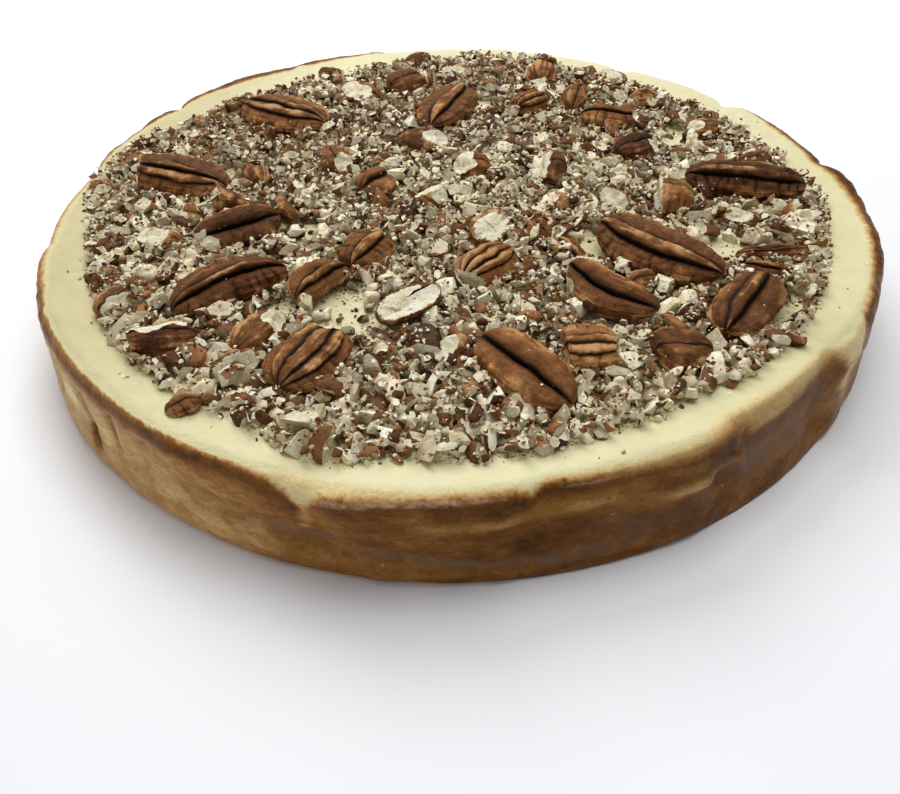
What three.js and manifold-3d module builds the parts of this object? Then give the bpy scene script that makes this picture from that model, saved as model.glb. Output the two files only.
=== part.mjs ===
import * as THREE from 'three';
import { mergeVertices } from 'three/addons/utils/BufferGeometryUtils.js';
import { ConvexGeometry } from 'three/addons/geometries/ConvexGeometry.js';
import Module from 'manifold-3d';

// A whole baked cheesecake topped with chopped pecans and large pecan halves and pieces.
// Sizes are in millimetres and angles in degrees. +Z is up, +Y is the back, and the origin is
// the centre of the flat base. Angles round the cake run anticlockwise from +X.

// The baked body
const baseRadius = 122;
const baseEdge = 1.4;
const rimHeight = 27.8;
const topHeight = 25;
const lipWidth = 16;
const columns = 92;
const creaseHalfWidth = 1.5;
const creaseClearance = 2.25;
const slantReach = 7;
const dipReach = 3;
const waist = { height: 13, depth: 1.3, spread: 4, middle: -100, reach: 45 };
const rimWaves = [
  { size: 0.4, count: 3, phase: 40 },
  { size: 0.25, count: 7, phase: 0 },
];

// Stretches of the wall between the creases that the folded baking paper left in it. Each
// begins at a crease, and gives the rim's radius just after it and at its own end, how far it
// bulges between them, how deep the crease is, how far the rim dips there, and how many
// degrees the crease has slanted by the time it reaches the base.
const panels = [
  { start: 8, first: 119, last: 119, bulge: 0.3, crease: 2.5, dip: 0.4, slant: 2 },
  { start: 32, first: 116.5, last: 116.5, bulge: 0.5, crease: 3.5, dip: 0.5, slant: -2 },
  { start: 55, first: 116.5, last: 119, bulge: 0.5, crease: 3.5, dip: 0.4, slant: 3 },
  { start: 102, first: 122, last: 122.5, bulge: 0.3, crease: 0, dip: 0.2, slant: 0 },
  { start: 120, first: 122.5, last: 122.5, bulge: 1.5, crease: 1.8, dip: 0.3, slant: -3 },
  { start: 145, first: 121.5, last: 117.5, bulge: 0.5, crease: 5.5, dip: 0.6, slant: 4 },
  { start: 169, first: 116, last: 117.5, bulge: 0, crease: 0.6, dip: 0.2, slant: 3 },
  { start: 191, first: 119, last: 119.5, bulge: 0.3, crease: 0.8, dip: 0.4, slant: 9 },
  { start: 226, first: 119.8, last: 121, bulge: 0.2, crease: 0.7, dip: 0.2, slant: 8 },
  { start: 255, first: 124, last: 120, bulge: 0.4, crease: 1.2, dip: 1.4, slant: 3 },
  { start: 278, first: 118.2, last: 120, bulge: 0, crease: 1.2, dip: 0.8, slant: -2 },
  { start: 301, first: 116, last: 116.8, bulge: 0, crease: 1.5, dip: 0.6, slant: -3 },
  { start: 319, first: 119.6, last: 122, bulge: 1.2, crease: 3.5, dip: 1.8, slant: -2 },
];

// Chopped pecans, fused to the top of the cake
const nutEdge = { radius: 108.5, wave: 2, count: 5 };
const chipSeed = 20;
const chipCount = 250;
const chipTries = 150;
const chipLength = [5.5, 12];
const chipWidth = [0.66, 0.95];
const chipThickness = [0.4, 0.58];
const chipSink = 0.7;
const chipSpacing = 0.45;
const chipCorners = 7;
const chipRoundness = 0.8;
const chipTilt = [-18, 18];
const goldenTurn = 137.5;
const cornerScatter = 90;
const barePatches = [
  { at: [-27, -57], radius: 6 },
  { at: [-42, -19], radius: 4 },
  { at: [-70, 16], radius: 4 },
  { at: [38, -28], radius: 5 },
  { at: [72, -30], radius: 5 },
  { at: [76, 36], radius: 6 },
  { at: [11, 66], radius: 4 },
  { at: [83, -57], radius: 5 },
];

// Large pecans. Each lies at its middle point, with its size as length, width and height, its
// long axis turned to a heading, and its kind: dorsal shows a ridge between two grooves,
// ventral two lobes on each side of one groove, lump a broken piece and bit a smaller one.
// Front and back are the shares of the half length at which a broken end is cut off, bend
// curves the piece sideways, roll turns it on its long axis, and pitch lifts its front end.
const restGap = 0.3;
const pecans = [
  { at: [-83, 10], size: [32, 19, 11], heading: -23, kind: 'dorsal', roll: 8 },
  { at: [-57, 54], size: [34, 19, 11], heading: -28, kind: 'dorsal', roll: 6 },
  { at: [-64.5, -7], size: [17, 6, 12], heading: -20, kind: 'lump' },
  { at: [-60.5, -20], size: [25, 14, 11], heading: 30, kind: 'ventral', roll: 10 },
  { at: [-58, -49], size: [32, 15, 11], heading: 35, kind: 'dorsal', roll: 12, bend: 1.5 },
  { at: [-36.5, -45.5], size: [18, 12, 10], heading: 50, kind: 'ventral' },
  { at: [-23, -30], size: [20, 15, 9], heading: 63, kind: 'dorsal', front: 0.7 },
  { at: [7, -42], size: [23, 14, 10], heading: 47, kind: 'dorsal', back: 0.6 },
  { at: [-11.5, -59], size: [19, 11, 9], heading: 39, kind: 'ventral', roll: -20 },
  { at: [-36, 19], size: [17, 10, 9], heading: -71, kind: 'lump', front: 0.7 },
  { at: [-21, 8], size: [18, 13, 10], heading: 48, kind: 'ventral', front: 0.5 },
  { at: [-1, 58], size: [31, 20, 11], heading: 68, kind: 'dorsal', roll: -6 },
  { at: [-14, 81], size: [18, 15, 10], heading: 35, kind: 'ventral', front: 0.6 },
  { at: [-32, 73], size: [18, 11, 8], heading: -39, kind: 'lump' },
  { at: [-8, 33], size: [20, 12, 9], heading: 4, kind: 'lump', front: 0.7 },
  { at: [4, 15], size: [16, 11, 10], heading: -10, kind: 'lump', back: 0.5 },
  { at: [26, 12], size: [19, 13, 11], heading: -14, kind: 'lump', back: 0.4 },
  { at: [34, 84], size: [11, 11, 11], heading: 80, kind: 'lump' },
  { at: [27, 60], size: [18, 13, 9], heading: 42, kind: 'dorsal', back: 0.7 },
  { at: [44, 64], size: [15, 10, 9], heading: 78, kind: 'lump' },
  { at: [54, 47], size: [20, 12, 10], heading: -13, kind: 'lump' },
  { at: [61, 25], size: [20, 12, 10], heading: 25, kind: 'ventral', front: 0.6 },
  { at: [68, 64], size: [10, 8, 8], heading: 4, kind: 'lump' },
  { at: [87, 0], size: [35, 17, 12], heading: -14, kind: 'dorsal', roll: -10 },
  { at: [61.5, -8.5], size: [17, 14, 12], heading: -18, kind: 'lump', back: 0.4 },
  { at: [54, -37], size: [38, 18, 12], heading: -44, kind: 'dorsal', roll: 8, bend: -1 },
  { at: [37.5, -55.5], size: [28, 13, 11], heading: -47, kind: 'ventral', roll: 14 },
  { at: [31, -75], size: [18, 17, 8], heading: -2, kind: 'dorsal', front: 0.75, back: 0.75 },
  { at: [50.5, -77], size: [18, 15, 9], heading: -4, kind: 'ventral', back: 0.6 },
  { at: [72, -60], size: [28, 16, 11], heading: 54, kind: 'ventral', roll: -8 },
  { at: [15, -84], size: [30, 15, 11], heading: -52, kind: 'ventral', roll: 10 },
  { at: [-71, -69.5], size: [18, 10, 10], heading: 12, kind: 'lump', pitch: -6, back: 0.8 },
  { at: [-34, -76], size: [27, 18, 10], heading: 62, kind: 'dorsal', front: 0.75 },
  { at: [-48, -67], size: [17, 10, 9], heading: 57, kind: 'lump' },
  { at: [86, -35], size: [21, 6, 6], heading: 4, kind: 'lump' },
  { at: [85, 40], size: [13, 8, 7], heading: -10, kind: 'lump' },
  { at: [-82, -24], size: [13, 8, 8], heading: -7, kind: 'bit' },
  { at: [-49, -8], size: [13, 6, 7], heading: -62, kind: 'bit' },
  { at: [-61, 13], size: [13, 8, 8], heading: -63, kind: 'bit' },
  { at: [-7, -1], size: [13, 10, 8], heading: -58, kind: 'bit', back: 0.6 },
  { at: [10, -23], size: [15, 10, 9], heading: 50, kind: 'bit' },
  { at: [47, -7], size: [11, 7, 8], heading: -53, kind: 'bit' },
  { at: [-2.5, -75], size: [12, 7, 8], heading: 36, kind: 'bit', back: 0.6 },
  { at: [82, -17], size: [10, 6, 6], heading: -32, kind: 'bit' },
];

// How the surface of each kind is grooved: at an angle round the long axis, up to a depth
// given as a share of the radius. Coarser pieces take fewer steps round and along.
const kinds = {
  dorsal: { around: 12, along: 8, grooves: [60, 120], depth: 0.33 },
  ventral: { around: 12, along: 7, grooves: [90], depth: 0.42 },
  lump: { around: 10, along: 6, grooves: [108], depth: 0.32 },
  bit: { around: 8, along: 5, grooves: [], depth: 0 },
};
const grooveHalfAngle = 14;
const underside = 0.38;
const taper = { power: 2.3, root: 0.6 };
const settle = 1.6;

const finishes = {
  cake: { color: 0xd8b476, roughness: 0.6, metalness: 0 },
  dorsal: { color: 0x6b4126, roughness: 0.5, metalness: 0 },
  ventral: { color: 0x7a4d2c, roughness: 0.5, metalness: 0 },
  lump: { color: 0x86603c, roughness: 0.55, metalness: 0 },
  bit: { color: 0xa98a5f, roughness: 0.6, metalness: 0 },
};

const wasm = await Module();
wasm.setup();

const radians = THREE.MathUtils.degToRad;
const degrees = THREE.MathUtils.radToDeg;
const mix = THREE.MathUtils.lerp;

// Repeatable draws from 0 to 1, by a linear congruential rule
const draw = { multiplier: 1664525, increment: 1013904223, modulus: 2 ** 32 };

function seededRandom(seed) {
  let state = seed;
  return () => {
    state = (state * draw.multiplier + draw.increment) % draw.modulus;
    return state / draw.modulus;
  };
}

function between(random, [low, high]) {
  return mix(low, high, random());
}

// Turn from one angle on to another, from 0 to 360
function turnFrom(angle, start) {
  return THREE.MathUtils.euclideanModulo(angle - start, 360);
}

// A smooth bump, 1 at no distance and fading out within about twice its width
function bump(distance, width) {
  return Math.exp(-((distance / width) ** 2));
}

// A three.js geometry as a welded index and positions, without the slivers at its poles
function weld(geometry) {
  geometry.deleteAttribute('normal');
  geometry.deleteAttribute('uv');
  const merged = mergeVertices(geometry);
  const corners = [];
  for (let i = 0; i < merged.index.count; i += 3) {
    const [a, b, c] = [0, 1, 2].map((k) => merged.index.getX(i + k));
    if (a !== b && b !== c && c !== a) corners.push(a, b, c);
  }
  merged.setIndex(corners);
  return merged;
}

function toSolid(geometry) {
  const vertProperties = new Float32Array(geometry.attributes.position.array);
  const triVerts = new Uint32Array(geometry.index.array);
  return new wasm.Manifold(new wasm.Mesh({ numProp: 3, vertProperties, triVerts }));
}

function toGeometry(solid) {
  const mesh = solid.getMesh();
  const geometry = new THREE.BufferGeometry();
  geometry.setAttribute('position', new THREE.BufferAttribute(mesh.vertProperties, 3));
  geometry.setIndex(new THREE.BufferAttribute(mesh.triVerts, 1));
  return geometry;
}

// Signed distance in degrees from an angle to a panel's crease, at a share of the height
function creaseDistance(angle, panel, rise) {
  const turn = turnFrom(angle, panel.start + panel.slant * (1 - rise));
  return turn > 180 ? turn - 360 : turn;
}

// Radius of the rim: straight runs from crease to crease, with a soft bulge in each
function rimRadius(angle) {
  const turns = panels.map((each) => turnFrom(angle, each.start));
  const index = turns.indexOf(Math.min(...turns));
  const panel = panels[index];
  const next = panels[(index + 1) % panels.length];
  const before = panels[(index + panels.length - 1) % panels.length];
  const span = turnFrom(next.start, panel.start);
  const turn = turnFrom(angle, panel.start);
  const share = turn / span;
  const run = mix(panel.first, panel.last, share) + panel.bulge * Math.sin(Math.PI * share);
  const creaseStart = Math.min(before.last, panel.first) - panel.crease;
  const creaseEnd = Math.min(panel.last, next.first) - next.crease;
  const fromStart = Math.min(turn / creaseHalfWidth, 1);
  const fromEnd = Math.min((span - turn) / creaseHalfWidth, 1);
  return mix(creaseStart, mix(creaseEnd, run, fromEnd), fromStart);
}

// Radius of the wall at a height: the folds fade out towards the round base
function wallRadius(angle, height) {
  const rise = THREE.MathUtils.clamp(height / rimHeight, 0, 1);
  const shift = panels.reduce(
    (sum, panel) => sum + panel.slant * (1 - rise) * bump(creaseDistance(angle, panel, rise), slantReach),
    0,
  );
  const fold = rimRadius(angle - shift);
  const belt = bump(creaseDistance(angle, { start: waist.middle, slant: 0 }, rise), waist.reach);
  const pinch = waist.depth * belt * bump(height - waist.height, waist.spread);
  return mix(baseRadius, fold, Math.sqrt(rise)) - pinch;
}

// How far the rim lies under its mean height
function rimDip(angle) {
  const dips = panels.map((panel) => panel.dip * bump(creaseDistance(angle, panel, 1), dipReach));
  return rimWaves.reduce(
    (sum, wave) => sum + wave.size * Math.sin(radians(wave.count * angle + wave.phase)),
    Math.max(...dips),
  );
}

// Angles of the wall's columns: even steps, and three at each crease
function columnAngles() {
  const angles = [];
  for (let i = 0; i < columns; i += 1) {
    const angle = (i * 360) / columns;
    const clear = panels.every((p) => Math.abs(creaseDistance(angle, p, 1)) > creaseClearance);
    if (clear) angles.push(angle);
  }
  for (const panel of panels) {
    angles.push(panel.start - creaseHalfWidth, panel.start, panel.start + creaseHalfWidth);
  }
  return angles.sort((a, b) => a - b);
}

// The body's section: height, and how far inside the wall's outline each ring lies
const section = [
  { height: 0, inset: baseRadius },
  { height: 0, inset: baseEdge },
  { height: baseEdge, inset: 0 },
  { height: 7, inset: 0 },
  { height: waist.height, inset: 0 },
  { height: 19, inset: 0 },
  { height: 24, inset: 0.3 },
  { height: 26.6, inset: 1.4 },
  { height: rimHeight, inset: 4.6 },
  { height: 27, inset: 8 },
  { height: 25.7, inset: 12 },
  { height: topHeight, inset: lipWidth },
  { height: topHeight, inset: baseRadius },
];

// The body: a turned section whose wall is then pushed in and out to its outline
function bodyGeometry() {
  const angles = columnAngles();
  const profile = section.map((ring) => new THREE.Vector2(baseRadius - ring.inset, ring.height));
  const lathe = weld(new THREE.LatheGeometry(profile, angles.length));
  lathe.rotateX(Math.PI / 2);
  const position = lathe.attributes.position;
  const step = 360 / angles.length;
  for (let i = 0; i < position.count; i += 1) {
    const inset = baseRadius - Math.hypot(position.getX(i), position.getY(i));
    const turn = degrees(Math.atan2(position.getY(i), position.getX(i)));
    const angle = angles[Math.round(turnFrom(turn, 0) / step) % angles.length];
    const height = position.getZ(i);
    const onAxis = inset > baseRadius - 1;
    if (!onAxis) {
      const radius = wallRadius(angle, height) - inset;
      const raised = Math.max(0, (height - topHeight) / (rimHeight - topHeight));
      position.setXYZ(
        i,
        radius * Math.cos(radians(angle)),
        radius * Math.sin(radians(angle)),
        height - raised * rimDip(angle),
      );
    }
  }
  return lathe;
}

// One large pecan: a blunt spindle along X with grooves down its length, flatter underneath,
// then cut, bent, turned and set down on the top, where it flattens a little
function pecanGeometry(pecan) {
  const { front = 1, back = 1, bend = 0, roll = 0, pitch = 0 } = pecan;
  const kind = kinds[pecan.kind];
  const [length, width, height] = pecan.size;
  const geometry = weld(new THREE.SphereGeometry(1, kind.around, kind.along));
  geometry.rotateZ(-Math.PI / 2);
  const position = geometry.attributes.position;
  for (let i = 0; i < position.count; i += 1) {
    const along = THREE.MathUtils.clamp(position.getX(i), -1, 1);
    const angle = degrees(Math.atan2(position.getZ(i), position.getY(i)));
    const girth = (1 - Math.abs(along) ** taper.power) ** taper.root;
    const cut = kind.grooves.reduce((sum, at) => sum + bump(angle - at, grooveHalfAngle), 0);
    const reach = girth * (1 - kind.depth * cut);
    const across = reach * Math.cos(radians(angle));
    const up = reach * Math.sin(radians(angle));
    position.setXYZ(
      i,
      THREE.MathUtils.clamp(along, -back, front) * 0.5 * length,
      across * 0.5 * width + bend * (1 - 2 * along ** 2),
      up * height * (up > 0 ? 1 - underside : underside),
    );
  }
  geometry.rotateX(radians(roll));
  geometry.rotateY(-radians(pitch));
  geometry.rotateZ(radians(pecan.heading));
  geometry.computeBoundingBox();
  const floor = topHeight + restGap;
  geometry.translate(pecan.at[0], pecan.at[1], floor - settle - geometry.boundingBox.min.z);
  for (let i = 0; i < position.count; i += 1) {
    position.setZ(i, Math.max(position.getZ(i), floor));
  }
  return geometry;
}

// Whether a point keeps a distance from every large pecan, each taken as a round-ended bar
function clearOfPecans(x, y, distance) {
  return pecans.every((pecan) => {
    const [length, width] = pecan.size;
    const turn = radians(pecan.heading);
    const along = (x - pecan.at[0]) * Math.cos(turn) + (y - pecan.at[1]) * Math.sin(turn);
    const across = (y - pecan.at[1]) * Math.cos(turn) - (x - pecan.at[0]) * Math.sin(turn);
    const straight = Math.max(0, Math.abs(along) - (length - width) / 2);
    const bend = Math.abs(pecan.bend ?? 0);
    return Math.hypot(straight, across) > width / 2 + bend + distance;
  });
}

// Whether a point lies outside every patch of bare cream
function clearOfPatches(x, y) {
  return barePatches.every(({ at, radius }) => Math.hypot(x - at[0], y - at[1]) > radius);
}

// Places of the chips, the largest first, each kept off the ones already there
function chipPlaces(random) {
  const places = [];
  for (let i = 0; i < chipCount; i += 1) {
    const size = mix(chipLength[1], chipLength[0], Math.sqrt(i / chipCount));
    const reach = size / 2;
    for (let tries = 0; tries < chipTries; tries += 1) {
      const turn = 360 * random();
      const edge = nutEdge.radius + nutEdge.wave * Math.sin(radians(nutEdge.count * turn)) - reach;
      const distance = edge * Math.sqrt(random());
      const x = distance * Math.cos(radians(turn));
      const y = distance * Math.sin(radians(turn));
      const apart = places.every((p) => Math.hypot(x - p.x, y - p.y) > chipSpacing * (size + p.size));
      if (apart && clearOfPecans(x, y, reach + restGap) && clearOfPatches(x, y)) {
        places.push({ x, y, size });
        break;
      }
    }
  }
  return places;
}

// One chip: the hull of a few corners spread over an oval, lying flat or a little tilted
function chipGeometry(place, random) {
  const half = new THREE.Vector3(
    place.size / 2,
    (place.size / 2) * between(random, chipWidth),
    (place.size / 2) * between(random, chipThickness),
  );
  const corners = [];
  for (let i = 0; i < chipCorners; i += 1) {
    const height = mix(-1, 1, (i + 0.5) / chipCorners);
    const turn = radians(goldenTurn * i + cornerScatter * random());
    const ring = Math.sqrt(1 - chipRoundness * height ** 2);
    corners.push(new THREE.Vector3(ring * Math.cos(turn), ring * Math.sin(turn), height).multiply(half));
  }
  const geometry = weld(new ConvexGeometry(corners));
  geometry.rotateX(radians(between(random, chipTilt)));
  geometry.rotateY(radians(between(random, chipTilt)));
  geometry.rotateZ(radians(360 * random()));
  geometry.computeBoundingBox();
  geometry.translate(place.x, place.y, topHeight - chipSink - geometry.boundingBox.min.z);
  return geometry;
}

// The body with its chopped nuts, as its one largest shell
function cakeGeometry() {
  const random = seededRandom(chipSeed);
  let solid = toSolid(bodyGeometry());
  for (const place of chipPlaces(random)) {
    solid = solid.add(toSolid(chipGeometry(place, random)));
  }
  const shells = solid.decompose();
  const largest = shells.reduce((best, shell) => (shell.volume() > best.volume() ? shell : best));
  return toGeometry(largest);
}

function addMesh(parent, name, geometry, finish) {
  const mesh = new THREE.Mesh(geometry, new THREE.MeshStandardMaterial(finish));
  mesh.name = name;
  parent.add(mesh);
}

const group = new THREE.Group();
addMesh(group, 'cake', cakeGeometry(), finishes.cake);
pecans.forEach((pecan, index) => {
  const name = `pecan_${String(index + 1).padStart(2, '0')}`;
  addMesh(group, name, pecanGeometry(pecan), finishes[pecan.kind]);
});

export default group;
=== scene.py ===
import math
import random

import bpy
import numpy as np
from mathutils import Matrix, Vector, noise
from mathutils.bvhtree import BVHTree


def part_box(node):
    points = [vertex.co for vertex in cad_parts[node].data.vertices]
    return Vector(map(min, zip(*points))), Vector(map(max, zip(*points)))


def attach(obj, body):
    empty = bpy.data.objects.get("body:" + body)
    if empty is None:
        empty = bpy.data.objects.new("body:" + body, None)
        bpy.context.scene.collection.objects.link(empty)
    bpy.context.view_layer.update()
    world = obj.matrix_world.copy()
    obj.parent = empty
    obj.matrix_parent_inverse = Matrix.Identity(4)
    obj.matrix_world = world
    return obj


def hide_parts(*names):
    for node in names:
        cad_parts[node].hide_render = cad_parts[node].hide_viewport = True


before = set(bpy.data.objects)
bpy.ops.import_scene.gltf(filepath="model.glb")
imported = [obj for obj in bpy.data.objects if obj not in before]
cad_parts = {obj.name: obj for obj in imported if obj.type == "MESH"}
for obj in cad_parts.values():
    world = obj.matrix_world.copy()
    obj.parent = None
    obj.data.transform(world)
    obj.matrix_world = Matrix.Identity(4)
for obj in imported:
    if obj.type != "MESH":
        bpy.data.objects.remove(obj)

mm = 0.001
noise.seed_set(5)  # otherwise noise_vector takes its seed from the clock
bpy.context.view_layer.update()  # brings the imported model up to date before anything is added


def deselectAll():
    if bpy.context.object and bpy.context.object.mode != "OBJECT":
        bpy.ops.object.mode_set(mode="OBJECT")
    bpy.ops.object.select_all(action="DESELECT")


def makeActive(obj):
    deselectAll()
    obj.select_set(True)
    bpy.context.view_layer.objects.active = obj


def editMode(obj):
    makeActive(obj)
    bpy.ops.object.mode_set(mode="EDIT")
    bpy.ops.mesh.select_all(action="SELECT")


def objectMode():
    bpy.ops.object.mode_set(mode="OBJECT")


def coordsOf(mesh):
    flat = np.zeros(len(mesh.vertices) * 3, np.float32)
    mesh.vertices.foreach_get("co", flat)
    return flat.reshape(-1, 3).astype(float)


def setCoords(mesh, coords):
    mesh.vertices.foreach_set("co", np.asarray(coords, np.float32).ravel())
    mesh.update()


def addAttribute(mesh, name, values, domain="POINT"):
    layer = mesh.attributes.new(name, "FLOAT", domain)
    layer.data.foreach_set("value", np.asarray(values, np.float32))


def treeOf(obj):
    mesh = obj.data
    return BVHTree.FromPolygons([v.co for v in mesh.vertices], [p.vertices for p in mesh.polygons])


def shadeSmooth(mesh):
    for polygon in mesh.polygons:
        polygon.use_smooth = True


def smoothStep(low, high, value):
    share = np.clip((value - low) / (high - low), 0, 1)
    return share * share * (3 - 2 * share)


def roundInterpolate(turn, stops, column=1):
    # a value at an angle in degrees, from stops that go once round and begin with their angle
    angles = [stop[0] for stop in stops]
    values = [stop[column] for stop in stops]
    return np.interp(np.mod(turn, 360), angles, values, period=360)


def tint(red, green, blue):
    # a colour given from 0 to 255 as seen on screen, as the linear colour that the shader takes
    def linear(value):
        share = value / 255
        return share / 12.92 if share <= 0.04045 else ((share + 0.055) / 1.055) ** 2.4
    return (linear(red), linear(green), linear(blue), 1)


def newMaterial(name):
    material = bpy.data.materials.new(name)
    material.use_nodes = True
    tree = material.node_tree
    tree.nodes.clear()
    output = tree.nodes.new("ShaderNodeOutputMaterial")
    shader = tree.nodes.new("ShaderNodeBsdfPrincipled")
    tree.links.new(shader.outputs["BSDF"], output.inputs["Surface"])
    return material, tree, shader


def plug(tree, node, name, value):
    socket = node.inputs[name]
    if isinstance(value, bpy.types.NodeSocket):
        tree.links.new(value, socket)
    else:
        socket.default_value = value


def addNode(tree, kind, inputs, **settings):
    node = tree.nodes.new("ShaderNode" + kind)
    for name, value in settings.items():
        setattr(node, name, value)
    for name, value in inputs.items():
        plug(tree, node, name, value)
    return node


def noiseNode(tree, vector, scale, detail=4, roughness=0.55, distortion=0):
    inputs = {"Vector": vector, "Scale": scale, "Detail": detail}
    inputs.update({"Roughness": roughness, "Distortion": distortion})
    return addNode(tree, "TexNoise", inputs).outputs["Fac"]


def mathNode(tree, operation, first, second=0.5):
    return addNode(tree, "Math", {0: first, 1: second}, operation=operation).outputs[0]


def addUp(tree, total, *others):
    for other in others:
        total = mathNode(tree, "ADD", total, other)
    return total


def times(tree, first, second):
    return mathNode(tree, "MULTIPLY", first, second)


def swing(tree, pattern, amount):
    # how far a noise is from its middle value, times an amount
    return times(tree, mathNode(tree, "SUBTRACT", pattern, 0.5), amount)


def rangeNode(tree, value, fromLow, fromHigh, toLow=0, toHigh=1):
    inputs = {"Value": value, "From Min": fromLow, "From Max": fromHigh, "To Min": toLow, "To Max": toHigh}
    return addNode(tree, "MapRange", inputs).outputs[0]


def mixNode(tree, factor, first, second, blend="MIX"):
    # each colour is a socket, or given from 0 to 255
    first, second = [tint(*colour) if isinstance(colour, tuple) else colour for colour in (first, second)]
    return addNode(tree, "Mix", {0: factor, 6: first, 7: second}, data_type="RGBA", blend_type=blend).outputs[2]


def rampNode(tree, value, stops):
    node = addNode(tree, "ValToRGB", {"Fac": value})
    ramp = node.color_ramp
    while len(ramp.elements) < len(stops):
        ramp.elements.new(0.5)
    for element, (place, colour) in zip(ramp.elements, stops):
        element.position = place
        element.color = tint(*colour)
    return node.outputs["Color"]


def attributeNode(tree, name):
    return addNode(tree, "Attribute", {}, attribute_name=name).outputs["Fac"]


def mappingNode(tree, vector, scale):
    return addNode(tree, "Mapping", {"Vector": vector, "Scale": scale}).outputs["Vector"]


def coordinates(tree, kind="Object"):
    return addNode(tree, "TexCoord", {}).outputs[kind]


def plugBumps(tree, shader, *bumps):
    # bumps laid one on the other, each as pattern, strength and depth in metres
    normal = None
    for pattern, strength, depth in bumps:
        inputs = {"Height": pattern, "Strength": strength, "Distance": depth}
        if normal is not None:
            inputs["Normal"] = normal
        normal = addNode(tree, "Bump", inputs).outputs["Normal"]
    plug(tree, shader, "Normal", normal)


view = {
    "place": (-1.7, -231.3, 155.2),  # mm
    "turns": (47.73, -1.264, 0.12),  # tilt, roll and heading in degrees
    "lens": 34.3,
    "sensor": 36,
}


def addCamera():
    camera = bpy.data.cameras.new("camera")
    camera.lens = view["lens"]
    camera.sensor_width = view["sensor"]
    camera.clip_start = 0.01
    obj = bpy.data.objects.new("camera", camera)
    bpy.context.scene.collection.objects.link(obj)
    tilt, roll, heading = [math.radians(turn) for turn in view["turns"]]
    turned = Matrix.Rotation(heading, 4, "Z") @ Matrix.Rotation(tilt, 4, "X") @ Matrix.Rotation(roll, 4, "Z")
    obj.matrix_world = Matrix.Translation(Vector(view["place"]) * mm) @ turned
    bpy.context.scene.camera = obj


studio = {
    "world": (0.97, 0.98, 1.0),
    "worldStrength": 0.27,
    "lights": [
        # name, place, size and power
        ("windowLight", (-0.2, 0.65, 0.75), 0.6, 6.0),
        ("topLight", (0.15, 0.1, 0.9), 0.6, 4.3),
        ("leftLight", (-0.95, -0.45, 0.12), 0.4, 2.4),
    ],
    "floorSize": 6,
    "floorColours": [(244, 245, 248), (248, 249, 251)],
    "floorSpeckle": 30,
    "floorRoughness": 0.6,
}


def addStudio():
    scene = bpy.context.scene
    scene.view_settings.view_transform = "Standard"
    world = bpy.data.worlds.new("studio")
    scene.world = world
    world.use_nodes = True
    background = world.node_tree.nodes["Background"]
    background.inputs["Color"].default_value = (*studio["world"], 1)
    background.inputs["Strength"].default_value = studio["worldStrength"]
    for name, place, size, power in studio["lights"]:
        light = bpy.data.lights.new(name, "AREA")
        light.size = size
        light.energy = power
        obj = bpy.data.objects.new(name, light)
        scene.collection.objects.link(obj)
        obj.location = place
        obj.rotation_euler = (-Vector(place)).to_track_quat("-Z", "Y").to_euler()
    deselectAll()
    bpy.ops.mesh.primitive_plane_add(size=studio["floorSize"], location=(0, 0, 0))
    floor = bpy.context.object
    floor.name = "floor"
    material, tree, shader = newMaterial("paleFloor")
    speckle = noiseNode(tree, coordinates(tree), studio["floorSpeckle"])
    plug(tree, shader, "Base Color", mixNode(tree, speckle, *studio["floorColours"]))
    plug(tree, shader, "Roughness", studio["floorRoughness"])
    floor.data.materials.append(material)


addCamera()
addStudio()
print("camera, light and floor made")


cheesecake = {
    "columns": 900,
    "rim": 120,  # mm, the radius that distances along the side are taken at
    "hub": (102, 13),  # point inside the rim, as radius and height, that the section is seen from
    "baseLook": -34.9,  # direction from the hub to the base's edge, in degrees over the horizontal
    "cornerLook": 40,  # to the rim's outer corner
    "lipLook": 50,  # to the inner side of the lip, as far as it is clear of nuts
    "wallRows": 34,
    "lipRows": 12,
    "slopeRows": 10,
    "slopeEnd": 102,
    "slopePower": 1.7,  # the higher, the more hollow the slope from the lip to the top
    "topRings": (99, 3, 25),  # outermost and innermost radius, and how many
    "topHeight": 25,
    "softening": (2.2, 0.8),  # in columns and rows
    "lipSoftening": (0.1, 2.2),
    "swellings": [(14, 0.7), (5, 0.32)],  # size and how far they stand out, in mm
    "grain": (1.9, 0.16),
    "pits": (2.6, 0.3, 0.45),  # size and depth in mm, and how rare they are, up to 1
    "onLip": (0.22, 0.05),  # how much of the swellings and of the grain the lip has
    "tatter": (1.4, 1.1, 0.35),  # the uneven crust edge: mm below the corner, half width, how far out
    "tatterSteps": [(0.55, 3.7, 0.8), (1.7, 8.1, 0.7)],  # steps a degree, place in the noise, size
    "bead": (0.8, 0.4),  # half width and how far out, in mm
    "leastCrust": 0.26,  # what hangs over the corner is never quite pale
    "paintedGleam": 1.2,  # how strongly the painted highlight specks of the side show
}
perDegree = math.radians(1) * cheesecake["rim"]  # mm along the side

# Outer edge of the nuts, as angle and radius in mm
nutEdge = [
    (0, 110), (8, 107), (25, 105.5), (57, 105.5), (71, 112), (82, 112), (96, 108), (111, 104), (130, 104),
    (137, 108), (147, 106), (161, 113), (170, 114), (176, 114), (188, 107), (208, 107), (220, 108.5),
    (242, 108.5), (252, 113.5), (258, 113.5), (263, 110.5), (276, 110.5), (286, 108), (294, 108),
    (301, 105),
    (306, 108.5), (345, 108.5), (352, 110),
]

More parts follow.
